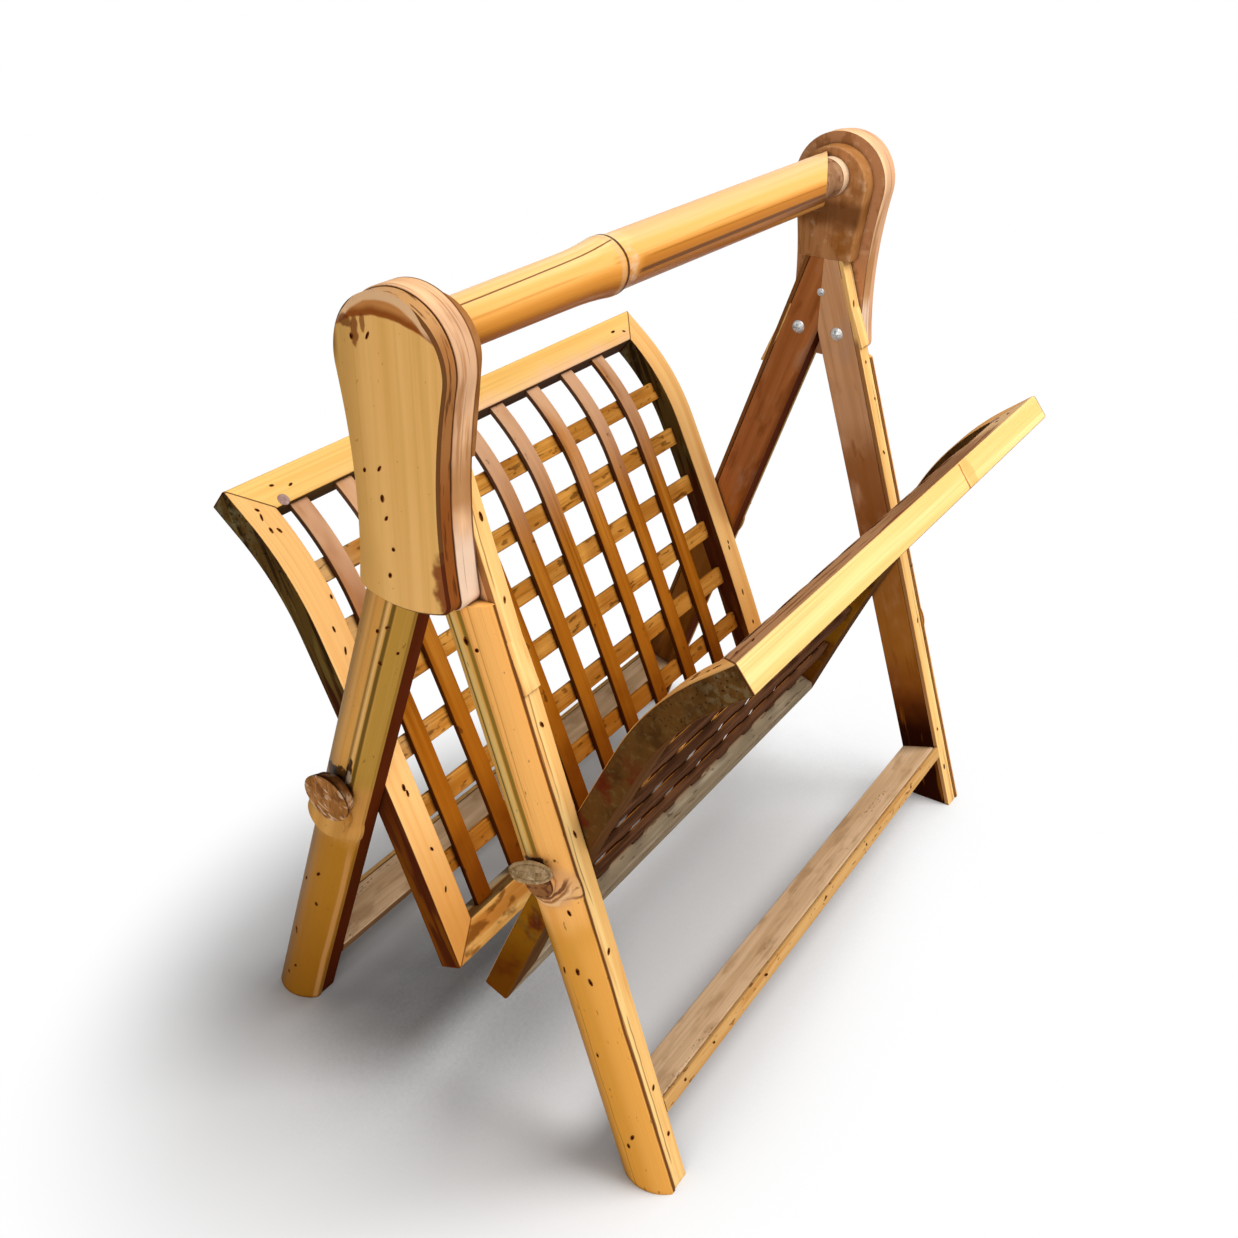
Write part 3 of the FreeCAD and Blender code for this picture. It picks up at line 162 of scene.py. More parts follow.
class Recipe(NodeTree):
    """One material's node tree, whose coordinates lean with the piece."""

    def __init__(self, name: str, lean: float = 0.0) -> None:
        """Starts an empty material.

        Args:
            name: The material's name.
            lean: The piece's turn about the X axis, in degrees.
        """
        self.material = bpy.data.materials.new(name)
        self.material.use_nodes = True
        super().__init__(self.material.node_tree)
        places = self.add("ShaderNodeTexCoord").outputs["Object"]
        faces = self.add("ShaderNodeNewGeometry").outputs["Normal"]
        self.place, normal = (
            self.add(
                "ShaderNodeMapping",
                {"Vector": vector, "Rotation": (math.radians(lean), 0.0, 0.0)},
                vector_type="TEXTURE",
            ).outputs[0]
            for vector in (places, faces)
        )
        self.along = self.add("ShaderNodeSeparateXYZ", {"Vector": self.place}).outputs
        self.facing = self.add("ShaderNodeSeparateXYZ", {"Vector": normal}).outputs

    def reading(self, parts: bpy.types.NodeOutputs, axis: Axis, mirrored: bool) -> Socket:
        """One axis of the place or the normal, or its size on both sides of the middle plane."""
        value = parts[axis.value]
        return self.math("ABSOLUTE", value) if mirrored else value

    def folded(self, *axes: Axis) -> Socket:
        """The place, with some axes read alike on both sides of the middle plane."""
        parts = [self.reading(self.along, axis, axis in axes) for axis in Axis]
        return self.add("ShaderNodeCombineXYZ", dict(enumerate(parts))).outputs[0]

    def cloud(self, size: Triple, detail: float, seed: float, lean: float = 0.0) -> Socket:
        """Adds noise whose clouds have a real size.

        Args:
            size: Cloud size along each axis, in millimetres.
            detail: How many finer layers the noise has.
            seed: A shift that makes this cloud differ from another.
            lean: The clouds' turn about the X axis, in degrees.

        Returns:
            The noise value, about 0.5 on average.
        """
        mapped = self.add(
            "ShaderNodeMapping",
            {
                "Vector": self.place,
                "Location": (seed, seed, seed),
                "Rotation": (math.radians(lean), 0.0, 0.0),
                "Scale": tuple(s * MM for s in size),
            },
            vector_type="TEXTURE",
        ).outputs[0]
        noise = self.add("ShaderNodeTexNoise", {"Vector": mapped, "Scale": 1.0, "Detail": detail})
        return noise.outputs[0]

    def wavering(self, place: Socket, waver: float, wave: float, seed: float) -> Socket:
        """Shifts a reading to and fro, so that an edge read from it wavers.

        Args:
            place: The reading, in metres or as a share.
            waver: How far the edge strays, in thousandths of the reading's unit.
            wave: The length of its waves, in millimetres.
            seed: A shift that makes this edge differ from another.

        Returns:
            The shifted reading.
        """
        if not waver:
            return place
        swing = self.cloud((wave, wave, wave), 2.0, seed)
        shift = self.math("MULTIPLY_ADD", swing, 4 * waver * MM, -2 * waver * MM)
        return self.math("ADD", place, shift)

    def near(self, value: Socket, at: float, half: float) -> Socket:
        """One where a value lies within a half width of another, with a soft edge."""
        apart = self.math("ABSOLUTE", self.math("SUBTRACT", value, at))
        return self.ramp(apart, half * LINE_OUTER, half * LINE_INNER)

    def oval(self, place: Socket, middle: Triple, half: Triple) -> Socket:
        """Measures how far a place is from the middle of an oval.

        Args:
            place: The place, in metres.
            middle: The oval's middle, in metres.
            half: The oval's half sizes, in metres.

        Returns:
            The distance as a share of the half sizes, which is one on the oval's rim.
        """
        inputs = {"Vector": place, "Location": middle, "Scale": half}
        shaped = self.add("ShaderNodeMapping", inputs, vector_type="TEXTURE").outputs[0]
        return self.add("ShaderNodeVectorMath", {0: shaped}, operation="LENGTH").outputs["Value"]

    def blend(self, share: Value, below: Socket | Colour, above: Socket | Colour) -> Socket:
        """Lays one colour over another by a share and returns the mixed colour."""
        return self.add("ShaderNodeMix", {0: share, 6: below, 7: above}, data_type="RGBA").outputs[2]

    def finished(self, shader: Socket) -> Material:
        """Gives the material its shader and returns the material."""
        self.add("ShaderNodeOutputMaterial", {"Surface": shader})
        return self.material


class Mask:
    """Where a coat shows: each kind of mask has nodes of its own."""

    def socket(self, recipe: Recipe) -> Socket:
        """Adds the mask's nodes and returns its value."""
        raise NotImplementedError


@dataclass(frozen=True)
class Band(Mask):
    """A stretch of an axis: the mask rises from start to end, in millimetres, and its edge may waver."""

    axis: Axis
    start: float
    end: float
    mirrored: bool = False
    waver: float = 0.0
    wave: float = 20.0

    def socket(self, recipe: Recipe) -> Socket:
        """Adds the mask's nodes and returns its value."""
        place = recipe.reading(recipe.along, self.axis, self.mirrored)
        place = recipe.wavering(place, self.waver, self.wave, self.start)
        return recipe.ramp(place, self.start * MM, self.end * MM)


@dataclass(frozen=True)
class Facing(Mask):
    """Faces turned towards an axis: the mask rises as the normal's part goes from low to high."""

    axis: Axis
    low: float
    high: float
    mirrored: bool = False

    def socket(self, recipe: Recipe) -> Socket:
        """Adds the mask's nodes and returns its value."""
        turned = recipe.reading(recipe.facing, self.axis, self.mirrored)
        return recipe.ramp(turned, self.low, self.high)


@dataclass(frozen=True)
class Patches(Mask):
    """Cloudy patches of a real size in millimetres; the mask rises where the cloud passes low."""

    size: Triple
    low: float
    high: float
    detail: float = 3.0
    seed: float = 0.0
    lean: float = 0.0

    def socket(self, recipe: Recipe) -> Socket:
        """Adds the mask's nodes and returns its value."""
        clouds = recipe.cloud(self.size, self.detail, self.seed, self.lean)
        return recipe.ramp(clouds, self.low, self.high)


@dataclass(frozen=True)
class Line(Mask):
    """A thin wavering line square to an axis, such as a crack or a seam, in millimetres."""

    axis: Axis
    at: float
    half: float
    waver: float = 0.0
    wave: float = 25.0
    mirrored: bool = False

    def socket(self, recipe: Recipe) -> Socket:
        """Adds the mask's nodes and returns its value."""
        place = recipe.reading(recipe.along, self.axis, self.mirrored)
        place = recipe.wavering(place, self.waver, self.wave, self.at)
        return recipe.near(place, self.at * MM, self.half * MM)


@dataclass(frozen=True)
class Spot(Mask):
    """An oval with an uneven rim, all that lies outside it, or its rim alone.

    Its middle and half sizes are in millimetres; its waver, softness and rim are shares of the half sizes.
    """

    middle: Triple
    half: Triple
    waver: float = 0.0
    wave: float = 8.0
    soft: float = 0.2
    outside: bool = False
    mirrored: bool = False
    rim: float = 0.0

    def socket(self, recipe: Recipe) -> Socket:
        """Adds the mask's nodes and returns its value."""
        place = recipe.folded(X) if self.mirrored else recipe.place
        middle, half = (tuple(part * MM for part in parts) for parts in (self.middle, self.half))
        reach = recipe.oval(place, middle, half)
        reach = recipe.wavering(reach, self.waver / MM, self.wave, sum(self.middle) * 0.1)
        if self.rim:
            return recipe.near(reach, 1.0, self.rim)
        inner, outer = 1 - self.soft, 1 + self.soft
        return recipe.ramp(reach, inner, outer) if self.outside else recipe.ramp(reach, outer, inner)


@dataclass(frozen=True)
class Seam(Mask):
    """A thin line where a slanting plane meets the surface, alike at all corners, in millimetres."""

    normal: Triple
    reach: float
    half: float

    def socket(self, recipe: Recipe) -> Socket:
        """Adds the mask's nodes and returns its value."""
        inputs = {0: recipe.folded(X, Y), 1: self.normal}
        height = recipe.add("ShaderNodeVectorMath", inputs, operation="DOT_PRODUCT").outputs["Value"]
        return recipe.near(height, self.reach * MM, self.half * MM)


@dataclass(frozen=True)
class Coat:
    """One tone laid over a finish where all of its masks meet."""

    tone: str
    masks: tuple[Mask, ...]
    amount: float = 1.0

    def lay(self, recipe: Recipe, below: Socket) -> Socket:
        """Lays the tone over a colour.

        Args:
            recipe: The material that is written.
            below: The colour below.

        Returns:
            The colour with the tone laid on.
        """
        share = self.masks[0].socket(recipe)
        for mask in self.masks[1:]:
            share = recipe.math("MULTIPLY", share, mask.socket(recipe))
        return recipe.blend(recipe.math("MULTIPLY", share, self.amount), below, linear(self.tone))


class Finish:
    """A surface that a piece can wear."""

    name: str

    def material(self) -> Material:
        """Writes the finish and returns its Blender material."""
        raise NotImplementedError


# How bamboo's noise turns into tone: where streaks and fibres start to show and where they are full; and,
# read from the openness to nearby surfaces, where soiling and painted shade in corners and creases start
# and where they are full.
STREAK_RANGE = (0.32, 0.68)
FIBRE_RANGE = (0.50, 0.74)
SOIL_SHADE_RANGE = (0.78, 0.30)
# How many fibre lengths a streak is long, and how far its roughness strays from the mean.
STREAK_STRETCH = 2.5
ROUGH_SWING = 0.08
# Height of the fibres' relief in millimetres, and the seeds of the two clouds.
RELIEF_HEIGHT = 0.4
STREAK_SEED, FIBRE_SEED = 1.7, 5.1


@dataclass(frozen=True)
class Bamboo(Finish):
    """Split bamboo: long straight fibres, broad lengthwise streaks, and coats laid on: stains of age,
    painted shade and painted highlights.
    """

    name: str
    pale: str
    deep: str
    fibre: str
    run: Run
    lean: float = 0.0
    streak_width: float = 7.0
    fibre_width: float = 0.9
    fibre_length: float = 60.0
    fibre_share: float = 0.45
    roughness: float = 0.42
    gloss: float = 0.0
    shine: float = 0.0
    relief: float = 0.25
    # Soiling and painted shade in corners and creases: their tone, their reach in millimetres and their
    # strength.
    grime: str = "#331708"
    grime_reach: float = 3.5
    grime_share: float = 0.85
    coats: tuple[Coat, ...] = ()

    def stretched(self, width: float, length: float) -> Triple:
        """A cloud's size along each axis, long where the fibres run."""
        return tuple(length if runs else width for runs in self.run.value)

    def coated(self, *coats: Coat) -> "Bamboo":
        """The same bamboo under these coats."""
        return replace(self, coats=coats)

    def material(self) -> Material:
        """Writes the finish: streaks and fibres, then the coats, then soiling and painted shade in the
        corners and creases.

        Returns:
            The finished Blender material.
        """
        recipe = Recipe(self.name, self.lean)
        long = self.fibre_length * STREAK_STRETCH
        streaks = recipe.cloud(self.stretched(self.streak_width, long), 3.0, STREAK_SEED)
        fibres = recipe.cloud(self.stretched(self.fibre_width, self.fibre_length), 2.0, FIBRE_SEED)
        colour = recipe.blend(recipe.ramp(streaks, *STREAK_RANGE), linear(self.deep), linear(self.pale))
        lines = recipe.math("MULTIPLY", recipe.ramp(fibres, *FIBRE_RANGE), self.fibre_share)
        colour = recipe.blend(lines, colour, linear(self.fibre))
        for coat in self.coats:
            colour = coat.lay(recipe, colour)
        # Darker where nearby surfaces close in: soiling in the joints and painted shade in the corners and
        # creases.
        nearby = {"Distance": self.grime_reach * MM}
        open_share = recipe.add("ShaderNodeAmbientOcclusion", nearby, samples=6).outputs["AO"]
        soil_and_shade = recipe.ramp(open_share, *SOIL_SHADE_RANGE, 0.0, self.grime_share)
        colour = recipe.blend(soil_and_shade, colour, linear(self.grime))
        rough, smooth = self.roughness + ROUGH_SWING, self.roughness - ROUGH_SWING
        bump = recipe.add(
            "ShaderNodeBump",
            {"Strength": self.relief, "Distance": RELIEF_HEIGHT * MM, "Height": fibres},
        )
        shader = recipe.add(
            "ShaderNodeBsdfPrincipled",
            {
                "Base Color": colour,
                "Roughness": recipe.ramp(streaks, 0.3, 0.7, rough, smooth),
                "IOR": 1.5,
                "Specular IOR Level": self.shine,
                "Coat Weight": self.gloss,
                "Coat Roughness": 0.3,
                "Normal": bump.outputs[0],
            },
        )
        return recipe.finished(shader.outputs[0])


@dataclass(frozen=True)
class ZincSteel(Finish):
    """Zinc-plated steel of the round-head screws: pale grey, satin, with a little cloudy tarnish."""

    name: str = "zinc_plated_steel"
    pale: str = "#E2E5E5"
    deep: str = "#A9ACAB"
    tarnish_size: Triple = (2.0, 2.0, 2.0)

    def material(self) -> Material:
        """Writes the finish.

        Returns:
            The finished Blender material.
        """
        recipe = Recipe(self.name)
        tarnish = recipe.cloud(self.tarnish_size, 4.0, 3.0)
        colour = recipe.blend(recipe.ramp(tarnish, 0.4, 0.7), linear(self.pale), linear(self.deep))
        rough = recipe.ramp(tarnish, 0.3, 0.7, 0.32, 0.5)
        inputs = {"Base Color": colour, "Metallic": 0.4, "Roughness": rough}
        return recipe.finished(recipe.add("ShaderNodeBsdfPrincipled", inputs).outputs[0])


@dataclass(frozen=True)
class NailIron(Finish):
    """Small iron nails sunk in the bamboo: almost black, with rust-brown stains round them."""

    name: str = "iron_nail"
    dark: str = "#240C04"
    rust: str = "#4A1E08"
    rust_size: Triple = (1.2, 1.2, 1.2)

    def material(self) -> Material:
        """Writes the finish.

        Returns:
            The finished Blender material.
        """
        recipe = Recipe(self.name)
        rusty = recipe.cloud(self.rust_size, 3.0, 2.0)
        colour = recipe.blend(recipe.ramp(rusty, 0.45, 0.7), linear(self.dark), linear(self.rust))
        return recipe.finished(recipe.add("ShaderNodeBsdfDiffuse", {"Color": colour}).outputs[0])


NAIL_RUST = NailIron("iron_rust_stain", "#5E2E10", "#9A602A")


# Parts that coats are laid on: the plates' faces and sides, the arc pared round their heads, broad faces.
PLATE_FACE = Facing(X, 0.90, 0.95, True)
PLATE_SIDE = Facing(X, 0.62, 0.35, True)
PARED_HEAD = Spot((0, 0, 346.2), (900, 39.4, 39.4), 0.016, 9.0, 0.012, outside=True)
PARED_EDGE = Spot((0, 0, 346.2), (900, 42.2, 42.2), 0.016, 9.0, 0.03)
HEAD_RIM = Spot((0, 0, 367), (900, 23.4, 23.4), 0.02, 12.0, 0.02, outside=True)
BROAD_FACE = Facing(X, 0.6, 0.85, True)
NEAR_SIDE = Facing(Y, -0.3, -0.8)

# Coats of a plate's face: painted shade on one edge over a darker tone of its own there, soft streaks, the
# brown pared head with drips and a painted highlight along its rim, and stains.
FACE_COATS = (
    # Painted shade of the curved face on one edge, over a darker tone of its own.
    Coat("#A67C3C", (Band(Y, 3, 25, waver=2.0),), 0.6),
    Coat("#D0A052", (Patches((10, 6, 160), 0.48, 0.70, 2.0, 8.0),), 0.5),
    Coat("#A06A2A", (Patches((2.4, 2.4, 3.2), 0.70, 0.75, 2.0, 3.0),), 0.5),
    Coat("#BE7C42", (PARED_HEAD, PLATE_FACE, Band(Z, 376, 380)), 0.95),
    Coat("#84400E", (PARED_HEAD, PARED_EDGE, PLATE_FACE, Band(Z, 376, 379)), 0.9),
    # A pale line along the pared rim: a painted highlight.
    Coat("#E8BC8E", (HEAD_RIM, PLATE_FACE, Band(Z, 378, 383)), 0.85),
    Coat("#7A3E12", (Spot((194, 12.8, 377.5), (20, 1.8, 5.2), 0.3, 4.0, mirrored=True),), 0.85),
    Coat("#7A3E12", (Spot((194, 8.6, 381.0), (20, 1.3, 3.4), 0.3, 4.0, mirrored=True),), 0.8),
    Coat("#6A3410", (Spot((194, 17.5, 380.5), (20, 3.2, 2.6), 0.3, 4.0, mirrored=True),), 0.8),
    Coat("#5A2C10", (Band(Y, 21.5, 24.5), Band(Z, 360, 372)), 0.7),
    Coat("#8C4A18", (Band(Y, -20.2, -22.6, waver=0.8, wave=12.0), Band(Z, 334, 316)), 0.9),
    Coat("#7A3612", (Spot((194, -25, 286), (20, 8, 17), 0.25, 6.0, mirrored=True),), 0.9),
)

# Tan skin of the near cheek's face plate: faint upright fibres, brown pared head, dark brown sides.
CHEEK_SKIN = Bamboo(
    "bamboo_cheek_skin", "#EAB56C", "#E0A95F", "#C08C46", Run.UPRIGHT,
    streak_width=8.0, fibre_length=130.0, fibre_share=0.2, gloss=0.01, shine=0.03,
).coated(
    *FACE_COATS,
    Coat("#BC8A56", (PLATE_SIDE,), 0.95),
    Coat("#9C6434", (PLATE_SIDE, Facing(Z, 0.8, 0.35)), 0.9),
    Coat("#81400F", (PLATE_SIDE, Band(Z, 345, 312)), 0.8),
    Coat("#4A200C", (PLATE_SIDE, Patches((2.2, 9, 20), 0.54, 0.64)), 0.75),
    Coat("#4A1C0A", (Facing(X, 0.93, 0.85, True), Facing(X, 0.35, 0.5, True)), 0.9),
)
# The far plate has the same face, but its sides are sanded to a pale pinkish tan.
CHEEK_SKIN_FAR = replace(CHEEK_SKIN, name="bamboo_cheek_skin_far").coated(
    *FACE_COATS,
    Coat("#D8A47C", (PLATE_SIDE,), 0.95),
    Coat("#BC8258", (PLATE_SIDE, Patches((4, 12, 26), 0.5, 0.68)), 0.6),
)

# Pale, slightly pink wood of the backing boards: soft layers along the edge, mottled brown inside.
BOARD = Bamboo(
    "bamboo_board", "#F6C697", "#E9B586", "#C08E62", Run.IN_LAYERS,
    streak_width=4.5, fibre_share=0.28, roughness=0.5, gloss=0.01, grime_share=0.45,
).coated(
    Coat("#CDA07C", (Facing(Y, -0.35, -0.85), Patches((10, 30, 40), 0.26, 0.56)), 0.85),
    Coat("#A8703E", (NEAR_SIDE, Patches((5, 24, 40), 0.50, 0.66, 3.0, 2.0), Band(Z, 302, 326)), 0.75),
    Coat("#AA7440", (NEAR_SIDE, Band(Z, 302, 316, waver=6.0), Band(Z, 346, 326, waver=6.0)), 0.8),
    Coat("#EACCB2", (NEAR_SIDE, Band(Z, 308, 296, waver=5.0)), 0.8),
    Coat("#8A5A34", (Patches((1.4, 40, 60), 0.60, 0.67, 2.0, 4.0),), 0.5),
    Coat("#C48A5C", (BROAD_FACE,), 0.95),
    Coat("#9A6030", (BROAD_FACE, Patches((8, 8, 12), 0.50, 0.64, 4.0)), 0.6),
    Coat("#DCAE82", (BROAD_FACE, Patches((6, 5, 5), 0.58, 0.68, 4.0, 4.0)), 0.5),
    Coat("#3E1A0A", (Line(X, 187.0, 0.4, 0.15, 20, True),), 0.9),
    Coat("#5E3218", (Line(X, 175.9, 0.5, 0.2, 20, True), PLATE_SIDE), 0.85),
)

# Brown inner faces of the leg cores: smooth and warm, with greyish blotches, orange low down.
CORE_BROWN = Bamboo(
    "bamboo_core_brown", "#C07843", "#A96532", "#8A4A20", Run.UPRIGHT, LEG_LEAN,
    fibre_length=70.0, fibre_share=0.25, roughness=0.5, gloss=0.02,
).coated(
    Coat("#BC9274", (Patches((14, 12, 30), 0.55, 0.70, 3.0, 6.0),), 0.55),
    Coat("#7E4216", (Patches((12, 9, 26), 0.54, 0.70),), 0.5),
    Coat("#A8640F", (Band(Z, 165, 120, waver=8.0),), 0.65),
    Coat("#4A2008", (Band(Z, 90, 10), Patches((10, 12, 60), 0.2, 0.6)), 0.8),
    # Painted shade along one long edge of the core.
    Coat("#6A3410", (Band(Y, 94.5, 91.0),), 0.6),
    Coat("#551C0A", (Facing(X, 0.6, 0.4, True),), 0.85),
)

# Paler leg core: pinkish tan at the top, blotched in the middle, very dark near the floor.
CORE_PALE = replace(
    CORE_BROWN, name="bamboo_core_pale", pale="#E4B083", deep="#CE9664", fibre="#A87040", lean=-LEG_LEAN,
).coated(
    Coat("#C49A7C", (Patches((14, 10, 30), 0.5, 0.68, 3.0, 4.0),), 0.5),
    Coat("#8A4A18", (Patches((12, 6, 22), 0.60, 0.70, 3.0, 3.0), Band(Z, 250, 215)), 0.7),
    Coat("#A8662C", (Band(Z, 222, 190), Patches((12, 10, 22), 0.25, 0.55)), 0.8),
    Coat("#A8661E", (Band(Z, 185, 120), Patches((12, 16, 40), 0.2, 0.5)), 0.85),
    Coat("#6A2C06", (Band(Z, 86, 28, waver=8.0),), 0.85),
    Coat("#1E0402", (Band(Z, 52, 8, waver=6.0),), 0.95),
    Coat("#8A4E12", (Patches((12, 5, 40), 0.60, 0.70, 2.0, 8.0), Band(Z, 130, 100)), 0.6),
    Coat("#4A1C0A", (Facing(X, 0.6, 0.4, True),), 0.85),
)

# Mottled brown wood of the core blocks, darker in a band just under the handle.
BLOCK = Bamboo(
    "bamboo_core_block", "#C48C5A", "#AA7242", "#7E4E26", Run.UPRIGHT,
    streak_width=9.0, fibre_width=1.2, fibre_length=30.0, fibre_share=0.35, roughness=0.55, gloss=0.01,
    grime_share=0.6,
).coated(
    Coat("#965E2E", (Patches((9, 9, 9), 0.50, 0.64, 4.0),), 0.65),
    Coat("#DAB48C", (Patches((7, 7, 7), 0.60, 0.70, 4.0, 2.0),), 0.45),
    Coat("#5E3212", (Band(Z, 362, 356, waver=2.0), Band(Z, 342, 352, waver=3.0)), 0.7),
    Coat("#9A5A16", (Spot((170, -10, 338), (30, 7, 6), 0.4, 6.0, 0.3, mirrored=True),), 0.6),
    Coat("#94602F", (Facing(X, 0.6, 0.4, True),), 0.6),
)

# Cut end of the handle's plugs: darker, greyish brown.
PLUG = replace(BLOCK, name="bamboo_plug", pale="#A87E5C", deep="#8C6446", fibre="#5E3E26").coated(
    Coat("#6A4228", (Patches((5, 5, 5), 0.5, 0.66, 4.0),), 0.7),
    Coat("#E2C09C", (Band(X, 157.5, 158.5, True, 0.5, 8.0),), 0.9),
    Coat("#5A3420", (Line(X, 157.6, 0.35, 0.5, 8, True),), 0.8),
)

# Cut branch stubs on the splits: torn brown fibres on the cut face, and painted shade, dark, on the flanks.
STUB_ZONE = Band(X, 185.2, 186.0, True)
FAR_END = Band(X, -1, 1)
STUB_COATS = (
    Coat("#7A4820", (STUB_ZONE,), 0.85),
    Coat("#4A2410", (STUB_ZONE, Patches((5, 5, 3), 0.50, 0.62, 4.0)), 0.75),
    # Painted shade on the stub's flanks.
    Coat("#38180A", (STUB_ZONE, Facing(X, 0.85, 0.55, True)), 0.8),
)

# The stretch of a front leg's split above its node, where grooves run.
ABOVE_NODE = Band(Z, 138, 144)
# Ochre skin of the front legs' half-round splits: olive grooves above the node, gold below it.
SPLIT_FRONT = Bamboo(
    "bamboo_split_front", "#F4B262", "#E9A250", "#BE8034", Run.UPRIGHT, -LEG_LEAN,
    streak_width=6.0, fibre_length=150.0, fibre_share=0.22,
    roughness=0.36, gloss=0.01, shine=0.03,
).coated(
    Coat("#A88838", (Band(Y, -104, -99, waver=0.5), Band(Z, 134, 146)), 0.6),
    Coat("#6E5A18", (Line(Y, -102.2, 0.9, 0.3, 80), ABOVE_NODE), 0.85),
    Coat("#E0C078", (Line(Y, -99.4, 1.0, 0.3, 80), ABOVE_NODE), 0.6),
    Coat("#54460E", (Line(Y, -96.8, 0.55, 0.3, 80), ABOVE_NODE), 0.9),
    Coat("#8E5C1C", (Line(Y, -107.5, 0.25, 0.6, 60), Band(Z, 150, 170)), 0.4),
    Coat("#D08E2C", (Band(Z, 116, 96, waver=5.0),), 0.75),
    # Below the node: painted shade on the left of the half-round split and painted light on its right.
    Coat("#A46C06", (Band(Z, 118, 100), Band(Y, -101, -94)), 0.75),
    Coat("#EAA650", (Band(Z, 110, 90), Band(Y, -106, -112)), 0.6),
    Coat("#8A5A10", (Line(Y, -99.5, 0.3, 1.5, 50), Band(Z, 90, 60)), 0.5),
    Coat("#7A4A12", (Patches((2.0, 2.0, 5.0), 0.70, 0.75, 2.0, 1.0),), 0.6),
    Coat("#E0B47C", (Band(Z, 118, 121, waver=1.5), Band(Z, 131, 127, waver=1.5)), 0.6),
    Coat("#6E3C14", (Line(Z, 121.0, 0.7, 1.6, 9), Patches((4, 4, 3), 0.40, 0.5)), 0.8),
    Coat("#7A4818", (Line(Z, 125.5, 0.6, 1.8, 7), Patches((4, 4, 3), 0.45, 0.55, 3.0, 4.0)), 0.8),
    Coat("#D29A68", (Spot((-187, -103, 127), (30, 14, 10.5), 0.1, 6, 0.2),), 0.7),
    Coat(
        "#5A2A0C",
        (Spot((-187, -101, 133), (30, 13.0, 11.0), 0.08, 6, rim=0.05), Band(Z, 131, 128)),
        0.85,
    ),
    Coat("#8A5426", (Spot((-187, -101, 133), (30, 14.0, 13.5), 0.08, 6, rim=0.04), Band(Z, 129, 126)), 0.8),
    Coat("#EAC490", (Spot((-187, -101, 133), (30, 14.5, 15.2), 0.06, 6, rim=0.04), Band(Z, 128, 124)), 0.5),
    Coat("#3A1408", (Spot((-187, -101.5, 139.0), (30, 7.5, 1.8), 0.5, 3.0, 0.15),), 0.9),
    Coat("#4E1C08", (Line(X, 176.2, 0.8, 0.5, 40, True), Facing(Y, -0.6, -0.9)), 0.9),
    *STUB_COATS,
)

# Browner skin of the rear legs' splits: olive grooves above the node, dark ochre below it.
SPLIT_REAR = replace(
    SPLIT_FRONT, name="bamboo_split_rear", pale="#D2994E", deep="#BE853C", fibre="#946424",
    lean=LEG_LEAN, gloss=0.02,
).coated(
    Coat("#87682A", (Band(Y, 108, 114),), 0.5),
    Coat("#A5832F", (Band(Y, 97.5, 95.5, waver=0.5), Band(Z, 130, 140)), 0.6),
    Coat("#866422", (Line(Y, 101.9, 0.6, 0.3, 80), Band(Z, 126, 136)), 0.8),
    Coat("#E2BA78", (Line(Y, 99.9, 0.8, 0.3, 80), Band(Z, 126, 136)), 0.55),
    Coat("#56420C", (Line(Y, 97.6, 0.8, 0.3, 80), Band(Z, 122, 130)), 0.9),
    Coat("#A66C0C", (Band(Z, 104, 92, waver=4.0),), 0.85),
    Coat("#8C5404", (Band(Z, 80, -20),), 0.6),
    Coat("#7A520E", (Band(Z, 100, 82), Band(Y, 107, 113)), 0.6),
    Coat("#D39A60", (Line(Y, 91.6, 0.8, 0.4, 60), Band(Z, 100, 82)), 0.5),
    Coat("#7A4A12", (Patches((2.0, 2.0, 5.0), 0.70, 0.75, 2.0, 1.0),), 0.6),
    Coat("#32140A", (Spot((-186, 110, 135.5), (30, 6.5, 3.0), 0.4, 3.0, 0.12),), 0.85),
    Coat("#2E1208", (Spot((-186, 104, 136.0), (30, 6.0, 6.0), 0.35, 3.5, 0.12),), 0.9),
    Coat("#2A1008", (Spot((-186, 100.4, 143), (30, 1.6, 9.0), 0.2, 4.0, 0.12),), 0.95),
    Coat("#B09A7C", (Spot((-186, 99.8, 138.0), (30, 1.6, 5.0), 0.3, 3.0, 0.15),), 0.75),
    Coat("#3A1A0A", (Spot((-186, 98.0, 129), (30, 2.6, 7.0), 0.3, 3.0, 0.15),), 0.85),
    Coat("#4E1C08", (Line(X, 176.2, 0.8, 0.5, 40, True), Facing(Y, 0.6, 0.9)), 0.9),
    *(replace(coat, masks=coat.masks + (FAR_END,)) for coat in STUB_COATS),
)

# Bright yellow skin of the edge strips on the front legs, brown along the seam and inside.
STRIP_FRONT = Bamboo(
    "bamboo_strip_front", "#FAD088", "#ECB66C", "#C48A46", Run.UPRIGHT, -LEG_LEAN,
    streak_width=4.0, fibre_width=0.8, fibre_length=90.0, fibre_share=0.3, roughness=0.36, gloss=0.01,
).coated(
    Coat("#DE9C54", (Patches((4, 5, 70), 0.52, 0.68, 2.0, 5.0),), 0.6),
    Coat("#8E5424", (Line(X, 172.4, 0.35, 1.2, 30, True), Patches((20, 20, 40), 0.45, 0.6)), 0.7),
    Coat("#6A3010", (Line(X, 175.3, 0.6, 0.3, 20, True),), 0.85),
    Coat("#A06A3C", (BROAD_FACE, Band(Z, 266, 260)), 0.85),
)
# The rear legs' strips show brown insides towards the trough.
STRIP_REAR = replace(STRIP_FRONT, name="bamboo_strip_rear", lean=LEG_LEAN).coated(
    *STRIP_FRONT.coats[:3],
    Coat("#7E4A22", (BROAD_FACE,), 0.95),
)
